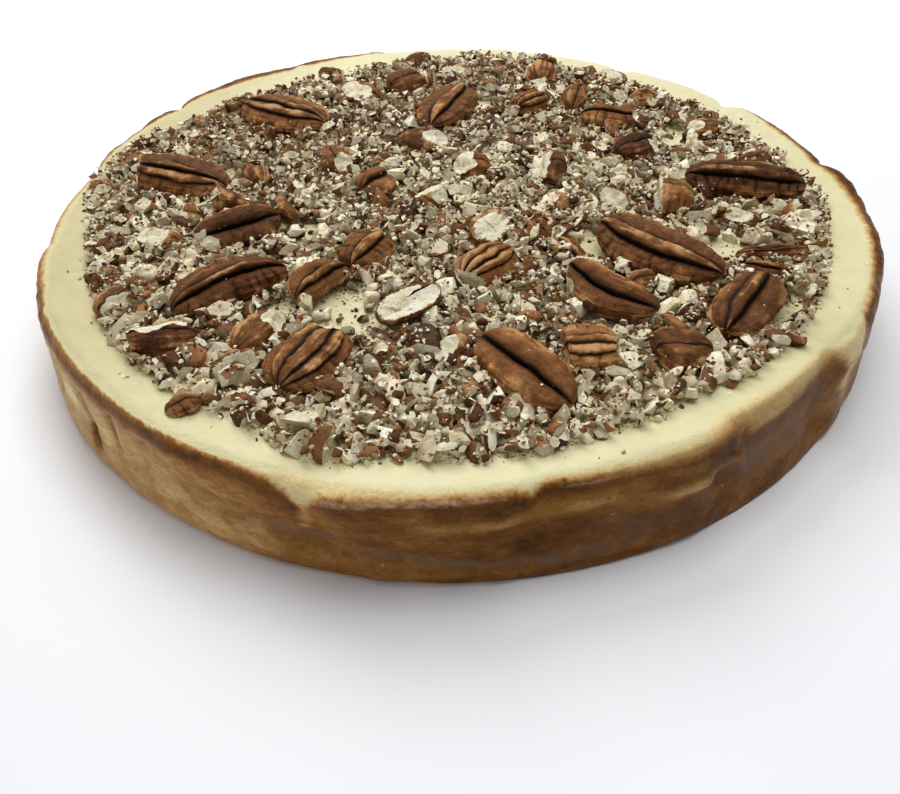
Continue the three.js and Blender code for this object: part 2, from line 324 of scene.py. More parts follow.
# Patches where the cream shows, as middle, radius, and the share of chips that still lie there
barePatches = [
    (-27, -57, 10.5, 0.02), (-42, -19, 7.5, 0.04), (-70, 17, 7, 0.05), (38, -28, 8, 0.04),
    (73, -29, 9, 0.03),
    (77, 35, 10, 0.04), (11, 66, 6, 0.06), (83, -57, 6.5, 0.08), (-44, -55, 4.5, 0.1), (60, 6, 5, 0.15),
    (-20, 74, 5, 0.15), (66, -46, 4, 0.1), (-60, 28, 4, 0.2), (34, -66, 5, 0.1),
]

# Creases, ridges and dents of the side: from angle and height to angle and height, then
# half width and how far it stands out, in degrees and mm
wallFolds = [
    (221.4, 19, 223, 6, 1.3, -2.4),
    (227.6, 21, 228.6, 12, 1.1, -1.5),
    (225, 18, 226, 8, 1.4, 0.6),
    (217, 21, 216, 7, 1.6, 0.7),
    (231, 23, 228, 7, 2.0, 0.9),
    (236, 24, 233, 16, 2.6, -0.5),
    (252, 10, 264, 9.5, 2.4, -0.8),
    (264, 9.5, 271, 6, 2.2, -0.7),
    (271, 6, 279, 4, 1.8, -0.5),
    (256, 14, 272, 13, 3.0, 0.35),
    (272, 19.5, 286, 18.8, 1.8, 0.7),
    (286, 18.8, 292, 19, 1.6, 0.6),
    (291, 15.5, 301, 17.5, 1.9, 0.75),
    (303, 22.5, 312, 23.5, 1.7, 0.7),
    (303, 18, 314, 19, 2.2, -0.6),
    (296, 25, 299, 12, 2.0, -0.9),
    (300, 26, 303, 10, 1.6, 0.7),
    (246, 3.2, 258, 2.4, 0.5, -0.35),
    (259, 2.6, 276, 2.2, 0.5, -0.4),
    (279, 2.8, 290, 2.4, 0.5, -0.35),
    (234, 5, 246, 3.5, 0.8, 0.4),
    (214, 20, 211, 6, 2.4, -0.7),
    (205, 22, 203, 9, 2.0, 0.5),
]

hiddenFolds = {  # more of the same kind, round the back
    "seed": 7,
    "count": 26,
    "turn": (322, 560),
    "height": (4, 20),
    "highest": 24,
    "upright": 0.4,  # share of them that run up the side
    "little": (-3, 3),  # how far they reach aside, in degrees or mm
    "along": (5, 14),  # degrees
    "up": (8, 16),  # mm
    "out": (0.4, 0.9),
    "width": (1.2, 2.6),
}

# Where the browning of the side ends on the lip: angle, then mm in from the rim's corner, then
# over how many mm it fades
toastEdge = [
    (0, 2.6, 1.1), (20, 2.8, 0.9), (31, 0.8, 0.8), (36, 0.8, 0.6), (45, 1.1, 0.5), (54, 0.3, 0.5),
    (56, 1.8, 0.8), (75, 1.0, 0.4), (101, 0.8, 0.4), (103, 2.2, 0.5), (118, 1.9, 0.5), (119.5, 0.4, 0.4),
    (121, 2.2, 0.6),
    (135, 2.0, 0.5), (143, 1.4, 0.5), (144.5, 0.2, 0.5), (147, 2.5, 0.7), (158, 2.0, 0.7),
    (168, 2.0, 0.9), (171, 2.8, 1.1),
    (184, 2.6, 1.2), (195, 2.4, 1.2), (204, 1.9, 0.7), (209, 0.6, 0.2), (230, 0.3, 0.16), (246, 0, 0.25),
    (250, -0.8, 0.6), (252.5, -2.4, 0.9), (254.3, -6, 1.2), (256.5, -2.8, 1.0), (262, -1.6, 1.1),
    (269, -0.6, 1.2),
    (275.2, -0.3, 1.2), (276.8, -1.4, 1.2), (278.5, 1.2, 0.9), (284, 0.6, 1.2), (290, 0, 1.7),
    (296, -0.2, 2.4),
    (299.5, 1.6, 2.4), (302, 1.2, 2.6), (310, 0.6, 3.2), (316, 0, 3.0), (319.8, -0.4, 2.4),
    (321.8, -6, 1.8),
    (325, -6, 1.6), (327.5, 0.4, 1.0), (340, 1.6, 1.0),
]

# The thin bead under the front edge, which carries a painted highlight line: angle, mm in from the corner, and
# strength
edgeBead = [
    (251, -4, 0), (254, -4.6, 0.8), (257, -4.4, 1), (262, -3.1, 1), (269, -2.1, 1), (274, -1.8, 0.7),
    (276.5, -1.7, 0),
    (278, 0, 0.4), (282, -0.6, 0.8), (290, -1.2, 0.5), (294, -1.4, 0),
]

# Painted highlight specks of the side: angle, height, and reach in mm along and up
paintedHighlightSpecks = [
    (229.8, 13.1, 1.1, 0.8), (234.9, 14.4, 1.3, 0.9), (240.8, 14.4, 1.8, 0.35), (243.6, 8.3, 1.1, 0.6),
    (244.3, 3.4, 2, 0.6), (246.4, 2.7, 1.6, 0.6), (254, 14.6, 1.4, 0.8), (270.5, 5.6, 0.6, 0.4),
    (268.2, 4.6, 0.5, 0.4),
    (279.6, 4.2, 0.8, 0.35), (285.6, 14.5, 0.9, 0.5), (287.4, 15.2, 1, 0.3), (262, 7.2, 0.6, 0.6),
    (300, 9, 0.6, 0.5),
    (305, 14, 0.5, 0.5), (313, 19, 0.5, 0.6), (336, 14, 0.8, 0.6), (12, 10, 0.8, 0.6), (44, 16, 0.9, 0.5),
    (87, 8, 0.8, 0.6), (131, 13, 1, 0.6), (170, 9, 0.8, 0.6), (196, 11, 1.2, 0.7), (208, 7, 1, 0.7),
]

# How much darker the band just below the crust's edge is, by angle
edgeBand = [
    (0, 0.14), (180, 0.14), (198, 0.16), (208, 0.34), (228, 0.38), (244, 0.34), (250, 0.2), (255, 0.05),
    (276, 0.08),
    (300, 0), (330, 0.12),
]

# How much darker and yellower the cream is, from 0 to 1, by angle: painted shade where less light falls on the
# cream, most on the left and in the notches
paintedCreamShade = [
    (0, 0.4), (40, 0.2), (70, 0), (110, 0), (135, 0.7), (150, 0.9), (165, 0.9), (195, 1), (214, 0.95),
    (226, 0.6),
    (238, 0.32), (249, 0.2), (252, 0.6), (255.5, 0.6), (258, 0.1), (275, 0), (290, 0.3), (316, 0.5),
    (322, 0.9), (328, 0.5),
]

# Patches of the side that are paler or darker: angle, height, reach in mm along and up, and change
wallPatches = [
    (257, 18, 5, 2.2, -0.16), (268, 19.2, 4.5, 1.6, -0.24), (274, 20, 6, 1.4, -0.26),
    (282, 20.6, 8, 1.7, -0.28),
    (294, 16.6, 9, 2, -0.34), (299.5, 16, 5, 1.8, -0.2), (305.5, 23.6, 8, 1.7, -0.34),
    (288, 22.5, 7, 1.6, -0.14), (262, 5.5, 14, 3, -0.14),
    (275, 4, 14, 2.4, -0.1), (246, 6, 12, 4, -0.12), (236, 10, 10, 7, -0.08), (226, 15, 3, 7, -0.14),
    (218, 16, 5, 6, -0.2), (222.2, 12, 1, 5.5, 0.5), (228, 17, 0.8, 4, 0.3), (218, 13, 2, 4, -0.14),
    (299.5, 24, 3, 4, 0.2), (282, 12, 10, 4, 0.06),
    (254.4, 20, 1.4, 4.5, -0.3), (210, 12, 10, 7, -0.06), (190, 14, 12, 6, 0.1), (312, 12, 12, 6, -0.04),
    (290, 8, 10, 3, 0.06), (323.3, 17, 3, 9, -0.5),
]

# How deeply the side is baked, as angle and depth; the paler left side also paints the stronger light that
# falls there
bakeAndLightByAngle = [
    (0, 0.64), (90, 0.62), (180, 0.56), (196, 0.42), (214, 0.29), (232, 0.35), (246, 0.45), (254, 0.6),
    (275, 0.69), (296, 0.68), (312, 0.65), (322, 0.58), (336, 0.62),
]

# Greyish violet bands of the side, a painted sheen that stands for the reflection of the surroundings, in the
# same form as its folds
paintedSheenBands = [
    (250, 13, 262, 10, 1.8, 0.9), (262, 10, 270, 7.5, 1.6, 1.0), (270, 7.5, 279, 5, 1.5, 0.9),
    (279, 5, 290, 7, 2.0, 0.7), (228, 22, 236, 22.5, 2.0, 0.4), (238, 14, 248, 12, 2.2, 0.4),
    (296, 12, 306, 14, 3.6, 0.7), (304, 13, 316, 13, 4.6, 0.8), (284, 12, 294, 9, 2.2, 0.4),
    (206, 16, 222, 10, 2.6, 0.3), (340, 14, 372, 12, 3.0, 0.6), (60, 10, 92, 14, 3.0, 0.6),
    (120, 16, 150, 10, 3.0, 0.6), (165, 8, 186, 12, 3.0, 0.6),
]


def measureSection():
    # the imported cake's section, seen from the hub at every column, as radius and height
    middle, level = cheesecake["hub"]
    columns = cheesecake["columns"]
    tree = treeOf(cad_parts["cake"])
    corner = cheesecake["cornerLook"]
    looks = np.radians(np.concatenate([
        np.linspace(cheesecake["baseLook"], corner, cheesecake["wallRows"], endpoint=False),
        np.linspace(corner, cheesecake["lipLook"], cheesecake["lipRows"]),
    ]))
    reach = np.zeros((len(looks), columns))
    for column in range(columns):
        turn = 2 * math.pi * column / columns
        outward = Vector((math.cos(turn), math.sin(turn), 0))
        start = outward * middle * mm + Vector((0, 0, level * mm))
        for row, look in enumerate(looks):
            ray = outward * math.cos(look) + Vector((0, 0, math.sin(look)))
            reach[row, column] = tree.ray_cast(start, ray)[3] / mm
    reach = soften(reach, *cheesecake["softening"])
    radius = middle + reach * np.cos(looks)[:, None]
    height = level + reach * np.sin(looks)[:, None]
    return radius, np.maximum(height, 0)


def soften(table, acrossColumns, acrossRows):
    # a Gaussian blur that wraps round the columns and holds the end rows
    def kernel(width):
        steps = np.arange(-int(3 * width) - 1, int(3 * width) + 2)
        weights = np.exp(-0.5 * (steps / width) ** 2)
        return steps, weights / weights.sum()
    steps, weights = kernel(acrossColumns)
    table = sum(w * np.roll(table, s, axis=1) for s, w in zip(steps, weights))
    steps, weights = kernel(acrossRows)
    rows = np.arange(table.shape[0])
    result = sum(w * table[np.clip(rows + s, 0, len(rows) - 1)] for s, w in zip(steps, weights))
    result[0] = table[0]
    return result


def completeSection(radius, height):
    # goes on from the lip down to the flat top and in to the middle
    flat = cheesecake["topHeight"]
    shares = np.linspace(0, 1, cheesecake["slopeRows"] + 1)[1:, None]
    slopeRadius = radius[-1] + (cheesecake["slopeEnd"] - radius[-1]) * shares
    slopeHeight = flat + (height[-1] - flat) * (1 - shares) ** cheesecake["slopePower"]
    inner = np.linspace(*cheesecake["topRings"])[:, None] * np.ones((1, radius.shape[1]))
    radius = np.vstack([radius, slopeRadius, inner])
    height = np.vstack([height, slopeHeight, np.full(inner.shape, flat)])
    joint = slice(cheesecake["wallRows"] + 5, -cheesecake["topRings"][2])  # the lip and its slope flow together
    radius[joint] = soften(radius[joint], *cheesecake["lipSoftening"])
    height[joint] = soften(height[joint], *cheesecake["lipSoftening"])
    return radius, height


def alongSide(turn, middle):
    # mm along the side from an angle, the short way round
    return (np.mod(turn - middle + 180, 360) - 180) * perDegree


def foldField(turn, height, folds):
    # how far the folds push the side out, at every angle and height
    push = np.zeros(turn.shape)
    for startTurn, startHeight, endTurn, endHeight, width, out in folds:
        alongX = (endTurn - startTurn) * perDegree
        alongY = endHeight - startHeight
        fromX = alongSide(turn, startTurn)
        fromY = height - startHeight
        share = (fromX * alongX + fromY * alongY) / (alongX ** 2 + alongY ** 2)
        held = np.clip(share, 0, 1)
        distance = np.hypot(fromX - held * alongX, fromY - held * alongY)
        push += out * np.exp(-(distance / width) ** 2) * (0.75 + 0.25 * np.sin(math.pi * held))
    return push


def hiddenFoldList():
    own = hiddenFolds
    draw = random.Random(own["seed"])
    folds = []
    for _ in range(own["count"]):
        start = draw.uniform(*own["turn"])
        low = draw.uniform(*own["height"])
        upright = draw.random() < own["upright"]
        across = draw.uniform(*own["little" if upright else "along"])
        rise = draw.uniform(*own["up" if upright else "little"])
        out = draw.choice([-1, 1]) * draw.uniform(*own["out"])
        high = min(own["highest"], low + rise)
        folds.append((start, low, start + across, high, draw.uniform(*own["width"]), out))
    return folds


def patchShare(turn, height, patchTurn, patchHeight, reachAlong, reachUp):
    # 1 in the middle of a patch of the side, falling to 0 round it
    along = alongSide(turn, patchTurn)
    return np.exp(-(along / reachAlong) ** 2 - ((height - patchHeight) / reachUp) ** 2)


def tatteredEdge(angles):
    # small uneven steps of the crust's edge, from -1 to 1
    def step(angle):
        return sum(noise.noise(Vector((angle * often, place, 0))) * size
                   for often, place, size in cheesecake["tatterSteps"])
    return np.array([step(angle) for angle in angles])


def unevenness(turn, radius, height):
    # the swellings and the grain at every point of the section
    size, out = cheesecake["grain"]
    pitSize, pitDepth, pitStart = cheesecake["pits"]
    swelling = np.zeros(turn.shape)
    grain = np.zeros(turn.shape)
    for place in np.ndindex(turn.shape):
        angle = math.radians(turn[place])
        spot = Vector((radius[place] * math.cos(angle), radius[place] * math.sin(angle), height[place]))
        swelling[place] = sum(noise.noise(spot / wide) * high for wide, high in cheesecake["swellings"])
        pit = max(0, noise.noise(spot / pitSize + Vector((9, 9, 9))) - pitStart)
        grain[place] = noise.noise(spot / size) * out - pitDepth * pit
    return swelling, grain


def pushOut(radius, height, amount):
    # moves the section along its own normal
    amount[height < 0.05] = 0
    amount[-cheesecake["topRings"][2]:] = 0
    stepRadius = np.gradient(radius, axis=0)
    stepUp = np.gradient(height, axis=0)
    size = np.hypot(stepRadius, stepUp) + 1e-9
    return radius + stepUp / size * amount, np.maximum(height - stepRadius / size * amount, 0)


def buildRings(name, radii, heights, columns):
    # a circle extruded ring by ring, closed by a fan below and a point at the top
    deselectAll()
    bpy.ops.mesh.primitive_circle_add(vertices=columns, radius=radii[0] * mm, location=(0, 0, 0))
    obj = bpy.context.object
    obj.name = name
    editMode(obj)
    for before, after, low, high in zip(radii, radii[1:], heights, heights[1:]):
        bpy.ops.mesh.extrude_region_move(TRANSFORM_OT_translate={"value": (0, 0, (high - low) * mm)})
        factor = after / before
        bpy.ops.transform.resize(value=(factor, factor, 1), center_override=(0, 0, high * mm))
    bpy.ops.mesh.edge_face_add()
    bpy.ops.mesh.poke()
    bpy.ops.mesh.select_all(action="DESELECT")
    objectMode()
    for vertex in obj.data.vertices[:columns]:
        vertex.select = True
    bpy.ops.object.mode_set(mode="EDIT")
    bpy.ops.mesh.select_mode(type="VERT")
    bpy.ops.mesh.edge_face_add()
    bpy.ops.mesh.poke()
    bpy.ops.mesh.select_all(action="SELECT")
    bpy.ops.mesh.normals_make_consistent(inside=False)
    objectMode()
    return obj


def makeCheesecake():
    columns = cheesecake["columns"]
    radius, height = completeSection(*measureSection())
    rows = len(radius)
    meanRadius = [float(value) for value in radius.mean(axis=1)]
    meanHeight = [float(value) for value in height.mean(axis=1)]
    obj = buildRings("bakedCheesecake", meanRadius, meanHeight, columns)
    coords = coordsOf(obj.data) / mm
    count = rows * columns
    rowOf = np.arange(count) // columns
    turns = np.degrees(np.arctan2(coords[:count, 1], coords[:count, 0]))
    columnOf = np.mod(np.round(turns * columns / 360), columns).astype(int)

    # distance along the surface from the rim's corner, inwards
    steps = np.hypot(np.diff(radius, axis=0), np.diff(height, axis=0))
    run = np.vstack([np.zeros(columns), np.cumsum(steps, axis=0)])
    run = run - run[cheesecake["wallRows"]]

    turn = (np.arange(columns) * 360 / columns)[None, :] * np.ones((rows, 1))
    tatter = tatteredEdge(turn[0])
    fold = foldField(turn, height, wallFolds + hiddenFoldList())
    swelling, grain = unevenness(turn, radius, height)
    side = smoothStep(4, -1.5, run) * smoothStep(0, 2.5, height)  # full on the side, none on the lip
    lip = smoothStep(-2, 3, run)
    below, width, out = cheesecake["tatter"]
    beadWidth, beadOut = cheesecake["bead"]
    bead = np.exp(-((run - roundInterpolate(turn, edgeBead)) / beadWidth) ** 2)
    bead = bead * roundInterpolate(turn, edgeBead, 2)
    ragged = out * np.exp(-((run + below) / width) ** 2) * tatter + beadOut * bead
    lipSwelling, lipGrain = cheesecake["onLip"]
    amount = side * (fold + swelling + grain) + ragged * side
    amount = amount + lip * (swelling * lipSwelling + grain * lipGrain)
    radius, height = pushOut(radius, height, amount)

    angle = np.radians(turn)
    table = np.stack([radius * np.cos(angle), radius * np.sin(angle), height], axis=-1)
    coords[:count] = table[rowOf, columnOf]
    coords[count:, :2] = 0
    setCoords(obj.data, coords * mm)
    # the side's relief tints it too: a little darker where it swells, and paler on folds that stand out and
    # darker in creases, as painted light and shade
    fields = sideColours(turn, height, run, tatter, 0.1 * swelling - 0.06 * fold)
    # the bead's painted highlight line joins the painted highlight specks
    fields["paintedGleam"] = bead + fields["paintedGleam"]
    fields["dustAndShade"] = nutDustAndShade(turn, radius, table)
    for name, field in fields.items():
        values = np.zeros(len(coords))
        values[:count] = field[rowOf, columnOf]
        addAttribute(obj.data, name, values)
    return obj


def sideColours(turn, height, run, tatter, relief):
    # where the crust begins and frays, how deeply it is browned, where its folds paint light and shade, and
    # where the painted sheen and painted highlights lie
    edge = roundInterpolate(turn, toastEdge)
    fade = roundInterpolate(turn, toastEdge, 2)
    crust = smoothStep(1, -1, (run - edge - 0.5 * tatter) / (2 * fade))
    crust = np.maximum(crust, cheesecake["leastCrust"] * smoothStep(2.5, -1, run))
    band = roundInterpolate(turn, edgeBand) * np.exp(-((run - edge + 2.4) / 2) ** 2)
    level = roundInterpolate(turn, bakeAndLightByAngle) + band + relief
    for *patch, change in wallPatches:
        level = level + change * patchShare(turn, height, *patch)
    return {
        "crust": crust,
        "frayed": 0.25 + 0.75 * smoothStep(2, 0.7, fade),  # a wide fade is smooth
        "bakeAndShading": level,
        "paintedSheen": np.clip(foldField(turn, height, paintedSheenBands), 0, 1) * crust,
        "paintedGleam": cheesecake["paintedGleam"] * sum(patchShare(turn, height, *speck) for speck in paintedHighlightSpecks),
        # painted shade on the cream by angle, and more toasting near the corner
        "shadeAndToast": np.maximum(roundInterpolate(turn, paintedCreamShade), 0.3 * smoothStep(3.5, 0.5, run)),
    }


def nutDustAndShade(turn, radius, table):
    # where brown dust of the nuts lies on the cream: among them, where it also paints the shade in the gaps
    # between the chips, and little of it on bare patches
    dust = smoothStep(0, -4, radius - roundInterpolate(turn, nutEdge))
    for x, y, reach, share in barePatches:
        away = np.hypot(table[..., 0] - x, table[..., 1] - y)
        dust = dust * (1 - 0.85 * np.exp(-(away / reach) ** 4))
    return dust


crustLook = {
    "flattened": (1, 1, 2.2),  # the side's patterns lie flat
    # Each pattern's scale, detail, roughness and distortion
    "blotch": (130, 5, 0.6, 0.4),
    "streak": (380, 5, 0.7, 0.5),
    "fine": (1000, 4, 0.65),
    "dust": (1100, 2, 0.5),
    "swings": (0.5, 0.34, 0.18),  # how far blotch, streak and fine change the baking
    "fray": 2.4,
    "baking": [
        (0.0, (228, 220, 172)), (0.1, (222, 198, 140)), (0.22, (203, 168, 112)), (0.36, (180, 138, 86)),
        (0.5, (152, 104, 50)), (0.66, (119, 74, 25)), (0.82, (82, 48, 13)), (1.0, (50, 28, 9)),
    ],
    # colour of the painted sheen, a reflection of the surroundings
    "paintedSheen": (122, 96, 78),
    # colour of the painted highlights
    "paintedGleam": (214, 184, 158),
    "cream": [(229, 222, 176), (236, 230, 188)],
    # colours of the cream in painted shade, and toasted near the corner
    "shadedAndToastedCream": [(202, 191, 142), (211, 202, 156)],
    # brown dust specks, also standing for painted shade between the chips
    "dustAndShadeColour": (122, 80, 44),
    "freckle": (52, 30, 13),
    "gloss": (0.25, 0.08),  # of the cream and of the crust
    "bumps": [(0.4, 0.0006), (0.45, 0.001)],  # strength and depth in metres, of fine and of streak
}


def crustMaterial():
    look = crustLook
    material, tree, shader = newMaterial("bakedCrustAndCream")
    place = coordinates(tree)
    flat = mappingNode(tree, place, look["flattened"])
    blotch = noiseNode(tree, flat, *look["blotch"])
    streak = noiseNode(tree, flat, *look["streak"])
    fine = noiseNode(tree, place, *look["fine"])

    # the crust's edge is frayed by the patterns, most where it is half way
    crust = attributeNode(tree, "crust")
    halfWay = times(tree, crust, mathNode(tree, "SUBTRACT", 1.0, crust))
    frayed = times(tree, halfWay, times(tree, attributeNode(tree, "frayed"), look["fray"]))
    fray = mathNode(tree, "SUBTRACT", addUp(tree, streak, fine), 1.0)
    edge = addUp(tree, crust, times(tree, fray, frayed))
    onCrust = rangeNode(tree, edge, 0.0, 0.2)

    shifts = [swing(tree, *pair) for pair in zip((blotch, streak, fine), look["swings"])]
    depth = addUp(tree, attributeNode(tree, "bakeAndShading"), *shifts)
    reached = mathNode(tree, "POWER", rangeNode(tree, edge, 0.0, 0.95), 1.5)
    baked = rampNode(tree, times(tree, reached, depth), look["baking"])
    # painted sheen: greyish violet bands that stand for the surroundings' reflection on the side
    sheen = times(tree, attributeNode(tree, "paintedSheen"), rangeNode(tree, blotch, 0.35, 0.6, 0.4, 0.85))
    baked = mixNode(tree, sheen, baked, look["paintedSheen"])
    # painted highlights: the line along the bead and the specks of the side
    line = times(tree, attributeNode(tree, "paintedGleam"), rangeNode(tree, streak, 0.36, 0.6, 0.25, 0.8))
    baked = mixNode(tree, rangeNode(tree, line, 0.25, 0.85, 0, 0.8), baked, look["paintedGleam"])

    cloud = rangeNode(tree, blotch, 0.3, 0.7)
    pale = mixNode(tree, cloud, *look["cream"])
    # the darker, yellower cream: painted shade, and toasting near the corner
    shadedAndToasted = mixNode(tree, cloud, *look["shadedAndToastedCream"])
    cream = mixNode(tree, attributeNode(tree, "shadeAndToast"), pale, shadedAndToasted)
    # brown dust specks, which also darken the gaps between the chips as painted shade
    dustAndShade = attributeNode(tree, "dustAndShade")
    dust = addUp(tree, noiseNode(tree, place, *look["dust"]), times(tree, dustAndShade, 0.12))
    dust = times(tree, rangeNode(tree, dust, 0.61, 0.68), rangeNode(tree, dustAndShade, 0.02, 0.3, 0, 0.8))
    cream = mixNode(tree, dust, cream, look["dustAndShadeColour"])

    colour = mixNode(tree, onCrust, cream, baked)
    freckle = times(tree, rangeNode(tree, fine, 0.6, 0.7), times(tree, onCrust, 0.25))
    plug(tree, shader, "Base Color", mixNode(tree, freckle, colour, look["freckle"]))
    rough = mathNode(tree, "SUBTRACT", onCrust, fine)
    plug(tree, shader, "Roughness", rangeNode(tree, rough, -0.6, 0.6, 0.6, 0.34))
    plug(tree, shader, "Specular IOR Level", rangeNode(tree, onCrust, 0, 1, *look["gloss"]))
    plugBumps(tree, shader, *[(pattern, *bump) for pattern, bump in zip((fine, streak), look["bumps"])])
    return material


body = makeCheesecake()
body.data.materials.append(crustMaterial())
shadeSmooth(body.data)
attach(body, "root")
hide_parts("cake")
print("baked body made:", len(body.data.polygons), "faces")


# How each kind of piece is grooved, all angles round its long axis, with 90 on top and 180
# facing the viewer's side. A groove has its angle and depth as a share of the half width.
pecanKinds = {
    "dorsal": {"grooves": [(76, 0.42), (126, 0.42)], "wrinkle": 0.9, "lumps": 0.4, "slit": 6},
    "ventral": {"grooves": [(90, 0.6)], "wrinkle": 0.5, "lumps": 0.35, "lobe": 0.95, "slit": 9},
    "fan": {"grooves": [(48, 0.26), (82, 0.28), (116, 0.3), (150, 0.24)], "wrinkle": 0.6, "lumps": 0.3},
    "lump": {"grooves": [(108, 0.26)], "wrinkle": 0.7, "lumps": 0.8},
    "smooth": {"grooves": [], "wrinkle": 0.4, "lumps": 0.7},
    "bit": {"grooves": [], "wrinkle": 0.5, "lumps": 0.9},
}

# Each large piece: its heading and kind, its tone from 0, dark, to 1, golden, and its broken
# faces, each as the direction it faces (round from the front end, and up) and how far out it
# lies. Trims are such faces that are still in their skin.
pecanLooks = [
    {"heading": -23, "kind": "dorsal", "roll": 8, "tone": 0.34,
     "grooves": [(84, 0.4), (104, 0.42), (137, 0.22)], "cuts": [(200, 8, 0.95)]},
    {"heading": -28, "kind": "dorsal", "roll": 6, "tone": 0.55,
     "grooves": [(72, 0.28), (100, 0.32), (132, 0.28)]},
    {"heading": -20, "kind": "smooth", "tone": 0.4, "cuts": [(190, 20, 0.8)],
     "trims": [(0, 52, 0.35), (272, 10, 0.75)]},
    {"heading": 30, "kind": "ventral", "roll": 10, "tone": 0.22, "slit": 13, "lobe": 0.7,
     "grooves": [(114, 0.75)], "cuts": [(195, 12, 0.9)]},
    {"heading": 35, "kind": "dorsal", "roll": 12, "bend": 1.5, "tone": 0.36, "wrinkle": 1.2,
     "grooves": [(80, 0.3), (109, 0.5)]},
    {"heading": 50, "kind": "ventral", "tone": 0.6, "bend": 1.2, "grooves": [(96, 0.55), (140, 0.3)]},
    {"heading": 63, "kind": "dorsal", "front": 0.7, "tone": 0.5, "wrinkle": 1.2, "cuts": [(0, 20, 0.8)]},
    {"heading": 47, "kind": "fan", "back": 0.6, "tone": 0.75, "cuts": [(180, 0, 0.84)]},
    {"heading": 39, "kind": "ventral", "roll": -20, "tone": 0.4, "cuts": [(262, 58, 0.28)]},
    {"heading": -71, "kind": "lump", "front": 0.7, "tone": 0.5, "cuts": [(20, 30, 0.7)]},
    {"heading": 48, "kind": "ventral", "front": 0.5, "tone": 0.65, "grooves": [(74, 0.4), (112, 0.4)],
     "cuts": [(340, 20, 0.6)]},
    {"heading": 68, "kind": "dorsal", "roll": -6, "tone": 0.45},
    {"heading": 35, "kind": "ventral", "front": 0.6, "tone": 0.4, "cuts": [(0, 20, 0.7)]},
    {"heading": -39, "kind": "lump", "tone": 0.45, "cuts": [(250, 52, 0.52)]},
    {"heading": 4, "kind": "smooth", "front": 0.7, "tone": 0.25, "cuts": [(335, 30, 0.75)]},
    {"heading": -10, "kind": "lump", "back": 0.5, "tone": 0.5, "cuts": [(205, 42, 0.4)]},
    {"heading": -14, "kind": "lump", "back": 0.4, "tone": 0.3, "cuts": [(196, 30, 0.25)],
     "ribs": (3.6, 1.6)},
    {"heading": 80, "kind": "smooth", "tone": 0.5},
    {"heading": 42, "kind": "fan", "back": 0.7, "tone": 0.5, "trims": [(180, 12, 0.8)]},
    {"heading": 78, "kind": "lump", "tone": 0.5},
    {"heading": -13, "kind": "lump", "tone": 0.55, "wrinkle": 1.2, "slit": 7,
     "grooves": [(72, 0.3), (112, 0.4)], "cuts": [(0, 10, 0.85)]},
    {"heading": 25, "kind": "ventral", "front": 0.6, "tone": 0.15, "cuts": [(335, 22, 0.7)]},
    {"heading": 4, "kind": "smooth", "tone": 0.35, "trims": [(120, 30, 0.7), (300, 40, 0.6)]},
    {"heading": -14, "kind": "dorsal", "roll": -4, "tone": 0.18, "wrinkle": 1.5,
     "grooves": [(96, 0.46), (139, 0.42)]},
    {"heading": -18, "kind": "dorsal", "back": 0.4, "tone": 0.72, "wrinkle": 1.1,
     "grooves": [(70, 0.14), (82, 0.16), (94, 0.14)],
     "cuts": [(192, 6, 0.5)]},
    {"heading": -44, "kind": "dorsal", "roll": 12, "bend": -1, "tone": 0.42, "wrinkle": 1.2,
     "slit": 7, "lobe": 0.5, "grooves": [(81, 0.55), (124, 0.42)]},
    {"heading": -47, "kind": "ventral", "roll": 18, "bend": -1.4, "tone": 0.44, "slit": 15, "lobe": 0.6,
     "grooves": [(100, 0.85)],
     "cuts": [(225, 10, 0.95)]},
    {"heading": -2, "kind": "fan", "front": 0.75, "back": 0.75, "tone": 0.85, "wrinkle": 1.1,
     "grooves": [(76, 0.26), (103, 0.32), (136, 0.2)], "cuts": [(0, 4, 0.85)], "trims": [(180, 4, 0.75)]},
    {"heading": -4, "kind": "smooth", "tone": 0.38, "wrinkle": 0.9, "grooves": [(98, 0.3)],
     "trims": [(200, 10, 0.72), (320, 20, 0.8), (60, 10, 0.8)]},
    {"heading": 54, "kind": "ventral", "roll": -4, "tone": 0.35, "grooves": [(70, 0.2), (112, 0.6)]},
    {"heading": -52, "kind": "ventral", "roll": 12, "tone": 0.6, "slit": 14, "lobe": 0.6,
     "grooves": [(100, 0.85)]},
    {"heading": 12, "kind": "lump", "pitch": -6, "back": 0.8, "tone": 0.25,
     "cuts": [(118, 62, 0.6), (180, 0, 0.9)]},
    {"heading": 62, "kind": "fan", "front": 0.75, "tone": 0.5, "wrinkle": 0.9, "cuts": [(0, 18, 0.85)]},
    {"heading": 57, "kind": "smooth", "tone": 0.5, "cuts": [(318, 34, 0.8)]},
    {"heading": 4, "kind": "lump", "tone": 0.35, "grooves": [(80, 0.2), (100, 0.2), (122, 0.2)]},
    {"heading": -10, "kind": "smooth", "tone": 0.4, "cuts": [(200, 40, 0.8)]},
    {"heading": -7, "kind": "bit", "tone": 0.45, "cuts": [(230, 60, 0.6)]},
    {"heading": -62, "kind": "bit", "tone": 0.4, "trims": [(120, 20, 0.7)]},
    {"heading": -63, "kind": "bit", "tone": 0.45, "cuts": [(150, 40, 0.7)]},
    {"heading": -58, "kind": "bit", "back": 0.6, "tone": 0.6, "cuts": [(190, 50, 0.35), (20, 30, 0.8)]},
    {"heading": 50, "kind": "bit", "tone": 0.5, "cuts": [(270, 66, 0.1)], "ribs": (3.4, 1.3)},
    {"heading": -53, "kind": "bit", "tone": 0.5, "cuts": [(300, 40, 0.5)]},
    {"heading": 36, "kind": "bit", "back": 0.6, "tone": 0.6, "cuts": [(180, 45, 0.45)]},
    {"heading": -32, "kind": "bit", "tone": 0.4, "cuts": [(240, 50, 0.6)]},
]

